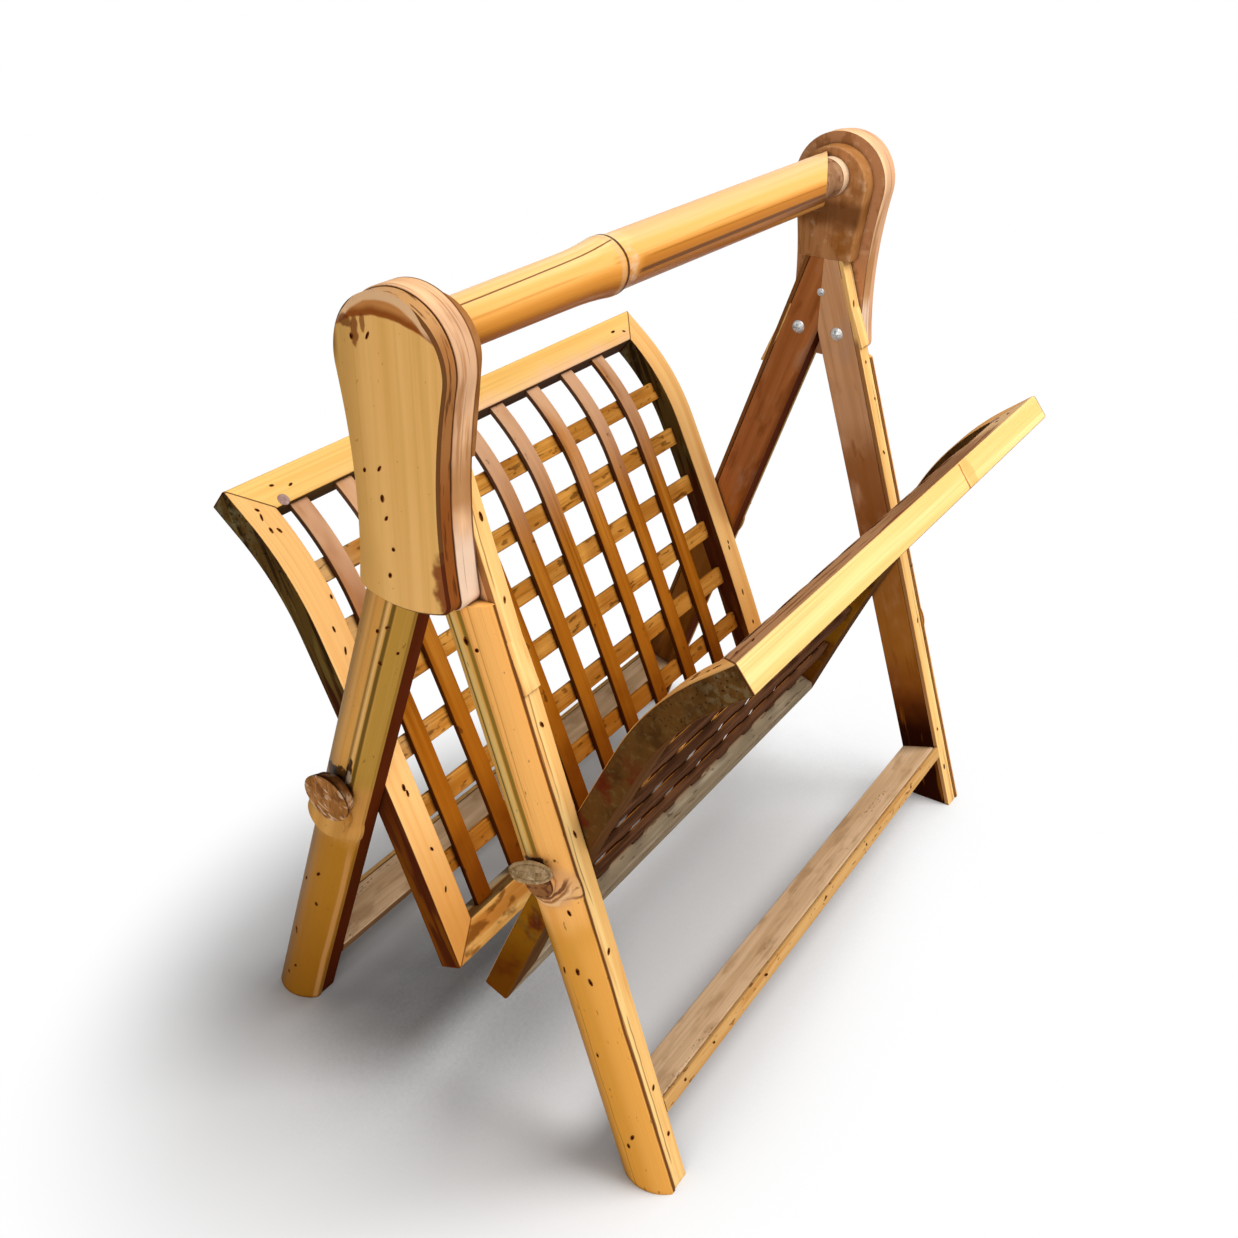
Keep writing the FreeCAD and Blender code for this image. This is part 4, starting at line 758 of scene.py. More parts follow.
# The stretchers' strips are duller, with small brown marks.
STRIP_STRETCHER = replace(
    STRIP_FRONT, name="bamboo_strip_stretcher", pale="#D2A468", deep="#BE8E50",
    run=Run.LENGTHWISE, lean=0.0,
).coated(
    Coat("#BC8040", (Patches((50, 3, 3), 0.50, 0.66, 2.0, 5.0),), 0.7),
    Coat("#6A3C18", (Patches((6, 2.2, 2.2), 0.62, 0.68, 3.0, 2.0),), 0.75),
)

# Faces of the pole towards the front panel: all that turn that way, and the flank alone.
POLE_FRONT = Facing(Y, 0.2, -0.3)
POLE_FLANK = Facing(Y, 0.0, -0.3)
# Honey skin of the handle pole: pale above, with painted shade turning it orange and then dark brown where
# its faces turn down, a long crack, a dark ring at its node, and near the far end painted shade in a groove
# with a painted highlight below it.
POLE = Bamboo(
    "bamboo_pole", "#FBD698", "#F2BE74", "#CC8E40", Run.LENGTHWISE,
    streak_width=4.0, fibre_width=0.8, fibre_length=140.0, fibre_share=0.22,
    roughness=0.3, gloss=0.04, shine=0.05,
).coated(
    # Painted shade: orange and then dark brown where the faces turn down.
    Coat("#EDA851", (Facing(Z, 0.93, 0.62), POLE_FRONT), 0.8),
    Coat("#CC8020", (Facing(Z, 0.5, -0.05), POLE_FRONT), 0.85),
    Coat("#A05602", (Facing(Z, -0.1, -0.6),), 0.9),
    # Beside the node: painted light where the faces turn up and painted shade where they turn down.
    Coat("#EAAE74", (Band(X, -50, -42), Facing(Z, 0.6, 0.9)), 0.5),
    Coat("#B26A14", (Band(X, -50, -42), Facing(Z, 0.45, 0.1), POLE_FRONT), 0.75),
    Coat("#BE761E", (Patches((180, 3, 3), 0.54, 0.66, 2.0, 6.0), Facing(Z, 0.75, 0.3)), 0.55),
    Coat("#E4BE94", (Line(X, -52.5, 3.4, 0.8, 8), Patches((5, 3, 3), 0.36, 0.6)), 0.7),
    Coat("#D9AE80", (Line(X, -60.6, 1.2, 0.4, 8),), 0.5),
    Coat("#3A1806", (Line(X, -57.6, 0.75, 0.3, 12),), 0.95),
    Coat("#6A3A10", (Line(Y, -5.1, 0.3, 0.5, 90), Facing(Z, 0.3, 0.6), Band(X, -58, -60)), 0.9),
    Coat("#663806", (Line(Z, 369.6, 0.9, 0.15, 160), POLE_FLANK, Band(X, -50, -44)), 0.9),
    Coat("#A4661A", (Line(Z, 374.4, 0.35, 0.15, 160), POLE_FLANK, Band(X, -48, -30)), 0.8),
    # Near the far end: painted shade in a groove and a painted highlight on the ridge below it.
    Coat("#5E3206", (Line(Z, 366.8, 1.5, 0.2, 120), POLE_FLANK, Band(X, 50, 130)), 0.8),
    Coat("#E6B064", (Line(Z, 363.6, 1.2, 0.2, 120), POLE_FLANK, Band(X, 50, 130)), 0.6),
)

# Lines where the panels' corners are mitred, the panels' outer sides turned down (painted shade on most
# pieces, grey weathering on the bottom rails), and faces of their rails.
TOP_MITRE = Seam((-0.707, 0.551, 0.444), 76.56, 0.35)
BOTTOM_MITRE = Seam((-0.707, -0.263, -0.656), -155.82, 0.35)
OUTER_SIDE = Facing(Z, 0.0, -0.25)
RAIL_TOP = Facing(Z, 0.7, 0.88)
RAIL_INSIDE = Facing(Y, 0.2, 0.5)
RAIL_EDGE = Facing(Y, 0.0, -0.4)
LOW_RAIL_SIDE = Facing(Y, -0.1, -0.3)
MITRE_COATS = (Coat("#4A1C08", (TOP_MITRE,), 0.85), Coat("#6A3010", (BOTTOM_MITRE,), 0.8))

# Yellow skin of the rear panel's rails on the inside, with a painted pink sheen along the lower half and
# painted shade, almost black, on the faces turned down outside.
RAIL_REAR = Bamboo(
    "bamboo_rail_rear", "#F8CB78", "#EFB762", "#C88C42", Run.LENGTHWISE,
    streak_width=5.0, fibre_length=120.0, fibre_share=0.24, roughness=0.34, gloss=0.02,
).coated(
    # A painted pink sheen.
    Coat("#F6C4A8", (Band(X, -120, -60, waver=10.0), Band(Z, 272, 262, waver=2.0)), 0.75),
    Coat("#D68E3A", (Band(Z, 90, 70), Patches((60, 6, 6), 0.35, 0.65)), 0.6),
    # Painted shade on the faces turned down.
    Coat("#2A1206", (OUTER_SIDE,), 0.9),
    *MITRE_COATS,
)
# The front rail shows pinkish tan wood inside, a dark seam and a bright yellow top edge with a node.
RAIL_FRONT = replace(RAIL_REAR, name="bamboo_rail_front", pale="#FBD690", deep="#F1C276").coated(
    Coat("#BC8A62", (RAIL_INSIDE, Facing(Z, 0.0, 0.3)), 0.9),
    Coat("#8A6040", (RAIL_INSIDE, Band(X, -40, 40), Band(X, 110, 70)), 0.7),
    Coat("#F0C894", (RAIL_INSIDE, Band(X, 80, 130)), 0.85),
    Coat("#7E3E20", (RAIL_INSIDE, Patches((40, 2.2, 2.2), 0.54, 0.62, 3.0)), 0.7),
    Coat("#A85E2A", (Line(X, 52.0, 0.7, 1.0, 8), RAIL_EDGE), 0.85),
    Coat("#D89A50", (Line(X, 58.0, 3.5, 2.0, 8), RAIL_EDGE), 0.45),
    # Painted shade on the faces turned down.
    Coat("#2A1206", (OUTER_SIDE,), 0.9),
    *MITRE_COATS,
)
# The bottom rails are weathered to a greyish tan on the outside.
RAIL_LOW = replace(RAIL_REAR, name="bamboo_rail_low").coated(
    Coat("#C07220", (Patches((60, 6, 6), 0.25, 0.55),), 0.8),
    Coat("#6A3408", (Patches((16, 8, 8), 0.52, 0.64, 4.0, 6.0),), 0.7),
    Coat("#3A2212", (RAIL_TOP, Band(Y, 21.5, 19.0, True)), 0.85),
    Coat("#A89474", (RAIL_TOP, Band(Y, 19.5, 22.0, True)), 0.95),
    Coat("#A89474", (OUTER_SIDE,), 0.95),
    Coat("#6E5A40", (OUTER_SIDE, Patches((40, 4, 4), 0.5, 0.66)), 0.7),
    *MITRE_COATS,
)
# The front one is grey all over the outside.
RAIL_LOW_FRONT = replace(RAIL_LOW, name="bamboo_rail_low_front").coated(
    *RAIL_LOW.coats,
    Coat("#9C8A70", (LOW_RAIL_SIDE, Band(Y, -18.5, -20.5)), 0.95),
    Coat("#D0C0A6", (LOW_RAIL_SIDE, Band(Y, -19, -21), Patches((60, 3, 3), 0.50, 0.68, 4.0, 3.0)), 0.45),
    Coat("#5E4630", (LOW_RAIL_SIDE, Patches((12, 2, 2), 0.58, 0.66, 3.0, 8.0)), 0.7),
)

# The stiles' old sides: the panels' mean lean, which their streaks follow, and the weathered top ends.
PANEL_LEAN = 25.0
TOP_END = Band(Y, 106, 124, True, 6.0)
# Yellow skin of the rear stiles, orange at the foot; their sides are dark olive, red-brown low down.
STILE_REAR = Bamboo(
    "bamboo_stile_rear", "#FBC880", "#F2B368", "#CC8C42", Run.IN_LAYERS,
    streak_width=5.0, fibre_length=90.0, fibre_share=0.24, roughness=0.34, gloss=0.02,
).coated(
    Coat("#DC9038", (Band(Z, 150, 70),), 0.75),
    # Painted shade on the faces turned down.
    Coat("#3A1C0C", (OUTER_SIDE,), 0.9),
    Coat("#46300E", (BROAD_FACE,), 0.97),
    Coat("#1E0E06", (BROAD_FACE, Patches((4, 4, 60), 0.46, 0.60, 3.0, 2.0, -PANEL_LEAN)), 0.8),
    Coat("#6E5A28", (BROAD_FACE, Patches((4, 4, 40), 0.54, 0.64, 3.0, 5.0, -PANEL_LEAN)), 0.6),
    Coat("#6A5E40", (BROAD_FACE, TOP_END, Patches((4, 5, 5), 0.42, 0.58, 4.0)), 0.7),
    Coat("#140A06", (BROAD_FACE, Patches((1.5, 1.5, 1.5), 0.62, 0.67, 2.0, 6.0), Band(Z, 220, 240)), 0.8),
    Coat("#4E1C0A", (BROAD_FACE, Band(Z, 215, 150, waver=12.0)), 0.85),
    Coat(
        "#7A420A",
        (BROAD_FACE, Band(Z, 160, 90), Patches((4, 5, 40), 0.46, 0.60, 3.0, 8.0, -PANEL_LEAN)),
        0.75,
    ),
    *MITRE_COATS,
)
# The front stiles' sides are brown, mottled with ochre and dark red, grey and speckled at the top end.
STILE_FRONT = replace(STILE_REAR, name="bamboo_stile_front", roughness=0.6, gloss=0.0).coated(
    Coat("#D2904A", (Patches((6, 40, 40), 0.4, 0.65),), 0.6),
    # Painted shade on the faces turned down.
    Coat("#3A1810", (OUTER_SIDE,), 0.9),
    Coat("#523414", (BROAD_FACE,), 0.97),
    Coat("#2E1A0A", (BROAD_FACE, Patches((6, 12, 12), 0.42, 0.66, 5.0, 2.0)), 0.6),
    Coat("#6E5834", (BROAD_FACE, Patches((4, 3, 3), 0.52, 0.70, 5.0, 5.0)), 0.4),
    Coat("#786648", (BROAD_FACE, TOP_END, Patches((4, 4, 4), 0.48, 0.62, 4.0)), 0.5),
    Coat("#20140A", (BROAD_FACE, Patches((1.5, 1.5, 1.5), 0.62, 0.67, 2.0, 6.0), Band(Z, 225, 245)), 0.8),
    Coat(
        "#5A160A",
        (BROAD_FACE, Patches((8, 14, 14), 0.44, 0.58, 3.0, 9.0), Band(Z, 222, 200, waver=8.0)),
        0.75,
    ),
    Coat("#94600C", (BROAD_FACE, Band(Z, 170, 125, waver=10.0), Patches((6, 12, 12), 0.3, 0.55)), 0.75),
    Coat("#5C2E06", (BROAD_FACE, Band(Z, 110, 70)), 0.8),
    *MITRE_COATS,
)

# Tan-orange upright slats: a painted pinkish sheen near the top rail, dark brown low down, and painted
# shade, dark brown, on their narrow sides and their faces turned down.
UPRIGHT = Bamboo(
    "bamboo_lattice_upright", "#C07A28", "#92500E", "#5E2E06", Run.IN_LAYERS,
    streak_width=4.0, fibre_width=0.8, fibre_length=70.0, fibre_share=0.35, roughness=0.4, gloss=0.02,
).coated(
    Coat("#92500F", (Patches((24, 300, 300), 0.45, 0.62, 1.0, 2.0),), 0.5),
    # A painted pinkish sheen near the top rail.
    Coat("#E2B48E", (Band(Z, 190, 258), Patches((24, 60, 60), 0.25, 0.6)), 0.8),
    Coat("#A0590C", (Band(Z, 205, 140, waver=12.0),), 0.7),
    Coat("#6A2E04", (Band(Z, 140, 75, waver=14.0),), 0.8),
    Coat("#4A2208", (Patches((8, 10, 10), 0.66, 0.72, 3.0, 9.0),), 0.7),
    # Painted shade on the narrow sides and on the faces turned down.
    Coat("#3A1606", (BROAD_FACE,), 0.85),
    Coat("#3A1810", (OUTER_SIDE,), 0.85),
)
# Cross slats: rougher flesh, blotched dark at random, with painted shade on the faces turned down.
CROSS = replace(
    UPRIGHT, name="bamboo_lattice_cross", pale="#DFA04A", deep="#C07C2C", fibre="#70400E",
    run=Run.LENGTHWISE, fibre_length=30.0, fibre_share=0.5, fibre_width=1.1,
    roughness=0.5, gloss=0.01, relief=0.5,
).coated(
    Coat("#9A5C1E", (Patches((30, 200, 200), 0.45, 0.62, 1.0, 2.0),), 0.5),
    Coat("#E8BC80", (Band(X, -110, -140), Band(Z, 120, 180)), 0.6),
    Coat("#94500A", (Band(Z, 170, 90),), 0.7),
    Coat("#4E2408", (Patches((10, 3, 3), 0.58, 0.66, 3.0, 2.0),), 0.65),
    # Painted shade on the faces turned down.
    Coat("#33150A", (OUTER_SIDE,), 0.8),
)
# The front panel's slats are dull and dark on the outside: weathered, with painted shade on that side.
OUTSIDE_DULL = Coat("#6A4630", (Facing(Y, 0.1, -0.2),), 0.95)
OUTSIDE_DARK = Coat("#3E2416", (Facing(Y, 0.1, -0.2), Patches((60, 6, 6), 0.46, 0.62, 3.0, 4.0)), 0.7)
CROSS_FRONT, UPRIGHT_FRONT = (
    replace(slat, name=f"{slat.name}_front").coated(*slat.coats, OUTSIDE_DULL, OUTSIDE_DARK)
    for slat in (CROSS, UPRIGHT)
)

# Weathered flat slats of the stretchers: warm tan, softly mottled, with a few dark specks.
WEATHERED = Bamboo(
    "bamboo_weathered", "#E0BC94", "#CDA67C", "#966E4A", Run.LENGTHWISE,
    streak_width=5.0, fibre_length=40.0, fibre_share=0.35, roughness=0.65, relief=0.4,
).coated(
    Coat("#A9825A", (Patches((26, 9, 9), 0.48, 0.66, 4.0, 5.0),), 0.6),
    Coat("#5E4226", (Patches((2.6, 1.2, 1.2), 0.58, 0.66, 3.0), Patches((50, 14, 14), 0.55, 0.65)), 0.7),
    Coat("#7E5430", (Facing(Z, 0.3, 0.0),), 0.85),
)

# Torn caps of the branch stubs: cut brown fibres with paler torn ends, and painted shade, near black, on
# the flanks and the walls of the hollows.
STUB = Bamboo(
    "bamboo_branch_stub", "#B67C48", "#94602E", "#5A3414", Run.UPRIGHT,
    streak_width=3.0, fibre_length=7.0, fibre_share=0.6, roughness=0.5, gloss=0.02, relief=0.8,
    grime_reach=2.0,
).coated(
    Coat("#6A3A18", (Patches((6, 9, 4), 0.50, 0.64, 3.0, 0.0, 30.0),), 0.75),
    Coat("#D8B48C", (Patches((6, 8, 2.6), 0.54, 0.66, 3.0, 7.0, 30.0),), 0.75),
    Coat("#F2E0C8", (Patches((6, 6, 1.6), 0.62, 0.70, 3.0, 4.0, 30.0),), 0.7),
    # Painted shade on the flanks and the walls of the hollows.
    Coat("#1E0A04", (Facing(X, 0.45, 0.1, True),), 0.9),
)
# The front stub's cut is weathered to a greyish tan, with painted shade on its flanks turned down.
STUB_GREY = replace(
    STUB, name="bamboo_branch_stub_grey", pale="#B89A74", deep="#967850", fibre="#6E5230",
).coated(
    Coat("#6E4E28", (Patches((6, 7, 4), 0.56, 0.66, 4.0),), 0.75),
    Coat("#D6C09A", (Patches((5, 6, 2.0), 0.6, 0.67, 3.0, 7.0),), 0.6),
    # Painted shade on the flanks turned down.
    Coat("#4A2410", (Facing(X, 0.45, 0.15, True), Facing(Z, 0.2, -0.2)), 0.85),
)

# Wedge at a strip's node, the same yellow skin with painted shade, brown, on its lower end that faces down.
STRIP_STEP = replace(STRIP_FRONT, name="bamboo_strip_step").coated(
    Coat("#DE9C54", (Patches((4, 5, 40), 0.52, 0.68, 2.0, 5.0),), 0.6),
    # Painted shade on the lower end.
    Coat("#5E2E10", (Facing(Z, -0.35, -0.7),), 0.95),
)

# Pinkish grey end grain of the mitre pegs.
PEG = Bamboo(
    "bamboo_peg_end", "#B99A90", "#9A7A72", "#7A5A50", Run.UPRIGHT,
    streak_width=2.0, fibre_width=0.6, fibre_length=2.0, fibre_share=0.4, roughness=0.6,
)


@dataclass(frozen=True)
class Viewpoint:
    """The camera at the photograph's angle, in metres and degrees, with lens and sensor in millimetres."""

    position: Triple = (-0.52793, -0.3096, 0.52382)
    target: Triple = (-0.03464, 0.0001, 0.18236)
    roll: float = 1.183
    lens: float = 39.18
    sensor: float = 36.0
    shift: tuple[float, float] = (-0.00448, 0.01276)

    def build(self) -> None:
        """Adds the camera and makes it the scene's own."""
        data = bpy.data.cameras.new("photo_camera")
        data.lens = self.lens
        data.sensor_width = self.sensor
        data.shift_x, data.shift_y = self.shift
        camera = bpy.data.objects.new("photo_camera", data)
        camera.location = self.position
        aim = (Vector(self.target) - Vector(self.position)).to_track_quat("-Z", "Y")
        camera.rotation_mode = "QUATERNION"
        camera.rotation_quaternion = aim @ Quaternion((0, 0, 1), math.radians(self.roll))
        bpy.context.scene.collection.objects.link(camera)
        bpy.context.scene.camera = camera


@dataclass(frozen=True)
class Lamp:
    """One soft area lamp, in metres and watts."""

    name: str
    place: Triple
    width: float
    power: float
    target: Triple = (0.0, 0.0, 0.18)

    def build(self) -> None:
        """Adds the lamp, turned to the middle of the rack."""
        data = bpy.data.lights.new(self.name, "AREA")
        data.energy = self.power
        data.size = self.width
        lamp = bpy.data.objects.new(self.name, data)
        lamp.location = self.place
        lamp.rotation_mode = "QUATERNION"
        lamp.rotation_quaternion = (Vector(self.target) - Vector(self.place)).to_track_quat("-Z", "Y")
        bpy.context.scene.collection.objects.link(lamp)


@dataclass(frozen=True)
class Studio:
    """White floor that keeps the rack's shadow, with painted shadow added under the rack, soft lamps and a
    white surround, in metres and watts.
    """

    floor_size: float = 14.0
    floor_tone: str = "#F0F0F0"
    # Painted shadow on the floor: a darker tone where ambient occlusion finds the rack near, deepest inside
    # a painted oval under the rack's left end.
    shade_tone: str = "#808080"
    shade_reach: float = 0.16
    shade_range: tuple[float, float] = (0.97, 0.55)
    deep_middle: Triple = (-0.145, 0.035, 0.0)
    deep_half: Triple = (0.10, 0.065, 1.0)
    deep_range: tuple[float, float] = (0.4, 1.4)
    deep_share: float = 0.3
    shadow_middle: Triple = (-0.09, 0.03, 0.0)
    shadow_half: Triple = (0.27, 0.20, 1.0)
    fade: tuple[float, float] = (0.55, 1.1)
    white_range: tuple[float, float] = (0.40, 0.90)
    ambient: float = 0.16
    lamps: tuple[Lamp, ...] = (
        Lamp("overhead_lamp", (0.34, -0.70, 1.45), 1.0, 26.0),
        Lamp("side_lamp", (-1.35, -0.50, 0.48), 1.2, 10.5),
    )

    def floor_material(self) -> Material:
        """Writes the floor's white, with painted shadow close under the rack and pure white away from its
        shadow.

        Returns:
            The floor's material.
        """
        recipe = Recipe("studio_floor_white")
        reach = recipe.oval(recipe.place, self.shadow_middle, self.shadow_half)
        # Painted shadow: the floor's tone darkens where the rack is near, most inside the painted oval.
        core = recipe.oval(recipe.place, self.deep_middle, self.deep_half)
        nearby = {"Distance": self.shade_reach}
        open_share = recipe.add("ShaderNodeAmbientOcclusion", nearby, samples=12).outputs["AO"]
        deep = recipe.ramp(core, *self.deep_range, 1.0, self.deep_share)
        shade = recipe.math("MULTIPLY", recipe.ramp(open_share, *self.shade_range), deep)
        tone = recipe.blend(shade, linear(self.floor_tone), linear(self.shade_tone))
        far, clear = recipe.ramp(reach, *self.fade), recipe.ramp(open_share, *self.white_range)
        share = recipe.math("MULTIPLY", recipe.math("MULTIPLY", far, clear), recipe.seen())
        matt = recipe.add("ShaderNodeBsdfDiffuse", {"Color": tone}).outputs[0]
        glow = recipe.add("ShaderNodeEmission", {"Color": WHITE, "Strength": 1.0}).outputs[0]
        return recipe.finished(recipe.add("ShaderNodeMixShader", {0: share, 1: matt, 2: glow}).outputs[0])

    def build(self) -> None:
        """Adds the floor, the lamps and the world."""
        Bench.clear()
        bpy.ops.mesh.primitive_plane_add(size=self.floor_size)
        floor = bpy.context.active_object
        floor.name = "studio_floor"
        floor.data.materials.append(self.floor_material())
        for lamp in self.lamps:
            lamp.build()
        world = bpy.data.worlds.new("studio_world")
        world.use_nodes = True
        bpy.context.scene.world = world
        tree = NodeTree(world.node_tree)
        strength = tree.ramp(tree.seen(), 0.0, 1.0, self.ambient, 1.0)
        surround = tree.add("ShaderNodeBackground", {"Color": WHITE, "Strength": strength})
        tree.add("ShaderNodeOutputWorld", {"Surface": surround.outputs[0]})
        bpy.context.scene.view_settings.view_transform = "Standard"


class Dresser:
    """Gives CAD nodes their finishes, writing each material once."""

    def __init__(self) -> None:
        """Starts with no material written."""
        self.written: dict[str, Material] = {}

    def material_of(self, finish: Finish) -> Material:
        """Finds a finish's material, which is written the first time it is asked for.

        Args:
            finish: The finish.

        Returns:
            Its material.
        """
        if finish.name not in self.written:
            self.written[finish.name] = finish.material()
        return self.written[finish.name]

    def clothe(self, piece: Piece, finish: Finish) -> None:
        """Puts a finish on a piece in place of what it wore."""
        piece.data.materials.clear()
        piece.data.materials.append(self.material_of(finish))

    def dress(self, node: str, finish: Finish) -> None:
        """Puts a finish on one CAD node, by the node's name."""
        self.clothe(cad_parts[node], finish)
        LOG.info("%s takes %s", node, finish.name)


class Bench:
    """Hand tools for new pieces: start a shape, select parts of it, place copies and join them."""

    # How far outside its carrier the search for a small piece's seat starts, in millimetres.
    search = 30

    @staticmethod
    def clear() -> None:
        """Deselects everything, because operators act on all that is selected."""
        bpy.ops.object.select_all(action="DESELECT")

    @staticmethod
    def open_up() -> Piece:
        """Goes into edit mode on the active piece with nothing selected.

        Returns:
            The piece.
        """
        bpy.ops.object.mode_set(mode="EDIT")
        bpy.ops.mesh.select_mode(type="FACE")
        bpy.ops.mesh.select_all(action="DESELECT")
        return bpy.context.active_object

    @staticmethod
    def pick_facing(piece: Piece, way: Vector, least: float = 0.9) -> None:
        """Selects the faces that are turned a way.

        Args:
            piece: The piece in edit mode.
            way: The way, as a vector of length one.
            least: How much of a face's normal has to point that way.
        """
        bpy.ops.mesh.select_all(action="DESELECT")
        bpy.ops.object.mode_set(mode="OBJECT")
        for face in piece.data.polygons:
            face.select = face.normal.dot(way) > least
        bpy.ops.object.mode_set(mode="EDIT")

    @staticmethod
    def close(piece: Piece) -> None:
        """Turns all faces outwards and goes back to object mode with the place in the mesh."""
        bpy.ops.mesh.select_all(action="SELECT")
        bpy.ops.mesh.normals_make_consistent(inside=False)
        bpy.ops.object.mode_set(mode="OBJECT")
        bpy.ops.object.transform_apply(location=True, rotation=True, scale=True)
        piece.select_set(False)

    @staticmethod
    def roughen(piece: Piece, size: float, depth: float, detail: int = 1) -> None:
        """Gives a piece an uneven surface with an applied displacement.

        Args:
            piece: The piece.
            size: Size of the bumps, in millimetres.
            depth: Depth of the bumps, in millimetres.
            detail: How many finer layers the bumps have.
        """
        cloud = bpy.data.textures.new(f"{piece.name}_unevenness", "CLOUDS")
        cloud.noise_scale = size * MM
        cloud.noise_depth = detail
        modifier = piece.modifiers.new("unevenness", "DISPLACE")
        modifier.texture = cloud
        modifier.strength = depth * MM
        modifier.texture_coords = "LOCAL"
        bpy.context.view_layer.objects.active = piece
        bpy.ops.object.modifier_apply(modifier=modifier.name)

    @staticmethod
    def smooth(piece: Piece, angle: float = 40.0) -> None:
        """Shades a piece smooth except over edges sharper than an angle in degrees."""
        Bench.clear()
        piece.select_set(True)
        bpy.context.view_layer.objects.active = piece
        bpy.ops.object.shade_smooth_by_angle(angle=math.radians(angle))
        piece.select_set(False)

    @staticmethod
    def copies(model: Piece, places: list[Matrix], name: str) -> Piece:
        """Copies a modelled shape to each place and joins the copies into one piece.

        Args:
            model: The shape, modelled at the origin.
            places: Where each copy goes.
            name: The joined piece's name.

        Returns:
            The joined piece.
        """
        Bench.clear()
        made = []
        for place in places:
            mesh = model.data.copy()
            mesh.transform(place)
            made.append(bpy.data.objects.new(name, mesh))
            bpy.context.scene.collection.objects.link(made[-1])
            made[-1].select_set(True)
        bpy.context.view_layer.objects.active = made[0]
        if len(made) > 1:
            bpy.ops.object.join()
        made[0].name = name
        made[0].select_set(False)
        return made[0]

    @staticmethod
    def standing(place: Vector, out: Vector, along: Vector) -> Matrix:
        """The place of a piece whose Z axis points out and whose X axis runs along."""
        turn = Matrix((along, out.cross(along), out)).transposed().to_4x4()
        return Matrix.Translation(place) @ turn

    @staticmethod
    def seat(carrier: str, near: Vector, inward: Vector, along: Vector) -> Matrix:
        """Finds where a small piece sits on its carrier.

        Args:
            carrier: The CAD node that carries it.
            near: A point near the surface, in metres.
            inward: The way into the carrier.
            along: The way the piece's length runs.

        Returns:
            A matrix whose Z axis points out of the surface and whose X axis runs along.
        """
        start = near - inward * Bench.search * MM
        hit, place, normal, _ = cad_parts[carrier].ray_cast(start, inward)
        if not hit:
            raise ValueError(f"nothing of {carrier} lies under {tuple(near)}")
        out = normal.normalized()
        return Bench.standing(place, out, (along - out * along.dot(out)).normalized())


def fit_out(piece: Piece) -> None:
    """Gives a dressed new piece its body."""
    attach(piece, "root")
    LOG.info("%s made, %d faces", piece.name, len(piece.data.polygons))


# How far nails are turned either way, in degrees, and the ranges of their length and width as shares.
NAIL_TURN = 35
NAIL_LENGTHS = (0.6, 1.5)
NAIL_WIDTHS = (0.7, 1.25)


@dataclass(frozen=True)
class NailRow:
    """Nails in one carrier: spots in millimetres in the frame, and the way into the carrier."""

    name: str
    carrier: str
    inward: Vector
    along: Vector
    spots: tuple[Triple, ...]

    def places(self) -> list[Matrix]:
        """Finds where each nail of the row sits, each turned and sized a little differently.

        Returns:
            One matrix for each nail.
        """
        dice = random.Random(self.name)
        places = []
        for spot in self.spots:
            turn = Matrix.Rotation(math.radians(dice.uniform(-NAIL_TURN, NAIL_TURN)), 4, "Z")
            size = Matrix.Diagonal((dice.uniform(*NAIL_LENGTHS), dice.uniform(*NAIL_WIDTHS), 1.0, 1.0))
            seat = Bench.seat(self.carrier, Vector(spot) * MM, self.inward, self.along)
            places.append(seat @ turn @ size)
        return places


@dataclass(frozen=True)
class Nails:
    """Nails of plates, strips and splits: oval heads ringed with rust, in millimetres."""

    radius: float = 0.48
    stain: float = 0.78
    length_share: float = 1.8
    height: float = 0.34
    rise: float = 0.04
    rim: float = 0.2
    dish: float = 0.1
    corners: int = 14

    def model(self, dresser: Dresser) -> Piece:
        """Models one nail head at the origin, its length along X.

        Args:
            dresser: Keeper of the finishes.

        Returns:
            The nail head.
        """
        Bench.clear()
        bpy.ops.mesh.primitive_cylinder_add(
            vertices=self.corners, radius=self.stain * MM, depth=self.height * MM
        )
        nail = Bench.open_up()
        Bench.pick_facing(nail, UPWARD)
        bpy.ops.mesh.inset(thickness=(self.stain - self.radius) * MM, depth=self.rise * MM)
        bpy.ops.mesh.inset(thickness=self.rim * MM, depth=-self.dish * MM)
        Bench.close(nail)
        for finish in (NailIron(), NAIL_RUST):
            nail.data.materials.append(dresser.material_of(finish))
        for face in nail.data.polygons:
            face.material_index = int(face.center.xy.length > self.radius * MM)
        nail.data.transform(Matrix.Diagonal((self.length_share, 1.0, 1.0, 1.0)))
        return nail

    def build(self, rows: list[NailRow], dresser: Dresser) -> None:
        """Copies the nail into every row.

        Args:
            rows: The rows of nails.
            dresser: Keeper of the finishes.
        """
        nail = self.model(dresser)
        for row in rows:
            fit_out(Bench.copies(nail, row.places(), row.name))
        bpy.data.objects.remove(nail)


@dataclass(frozen=True)
class LegLine:
    """The middle line of the legs seen from an end, in millimetres and radians."""

    crotch_height: float = 286.2
    half_width: float = 10.75
    lean: float = math.radians(LEG_LEAN)

    def depth(self, height: float, across: float = 0.0) -> float:
        """Finds how far a leg's middle line, or a line beside it, is from the rack's middle.

        Args:
            height: Height above the floor.
            across: Distance outwards from the middle line, square to the leg.

        Returns:
            The distance along Y.
        """
        fall = (self.crotch_height - height) * math.tan(self.lean)
        return fall + (self.half_width + across) / math.cos(self.lean)

    def upward(self, row: Row) -> Vector:
        """The way up along a leg."""
        return Vector((0, -row.value * math.sin(self.lean), math.cos(self.lean)))

    def outward(self, row: Row) -> Vector:
        """The way out of a leg's edge strip, square to the leg."""
        return Vector((0, row.value * math.cos(self.lean), math.sin(self.lean)))


LEG_LINE = LegLine()


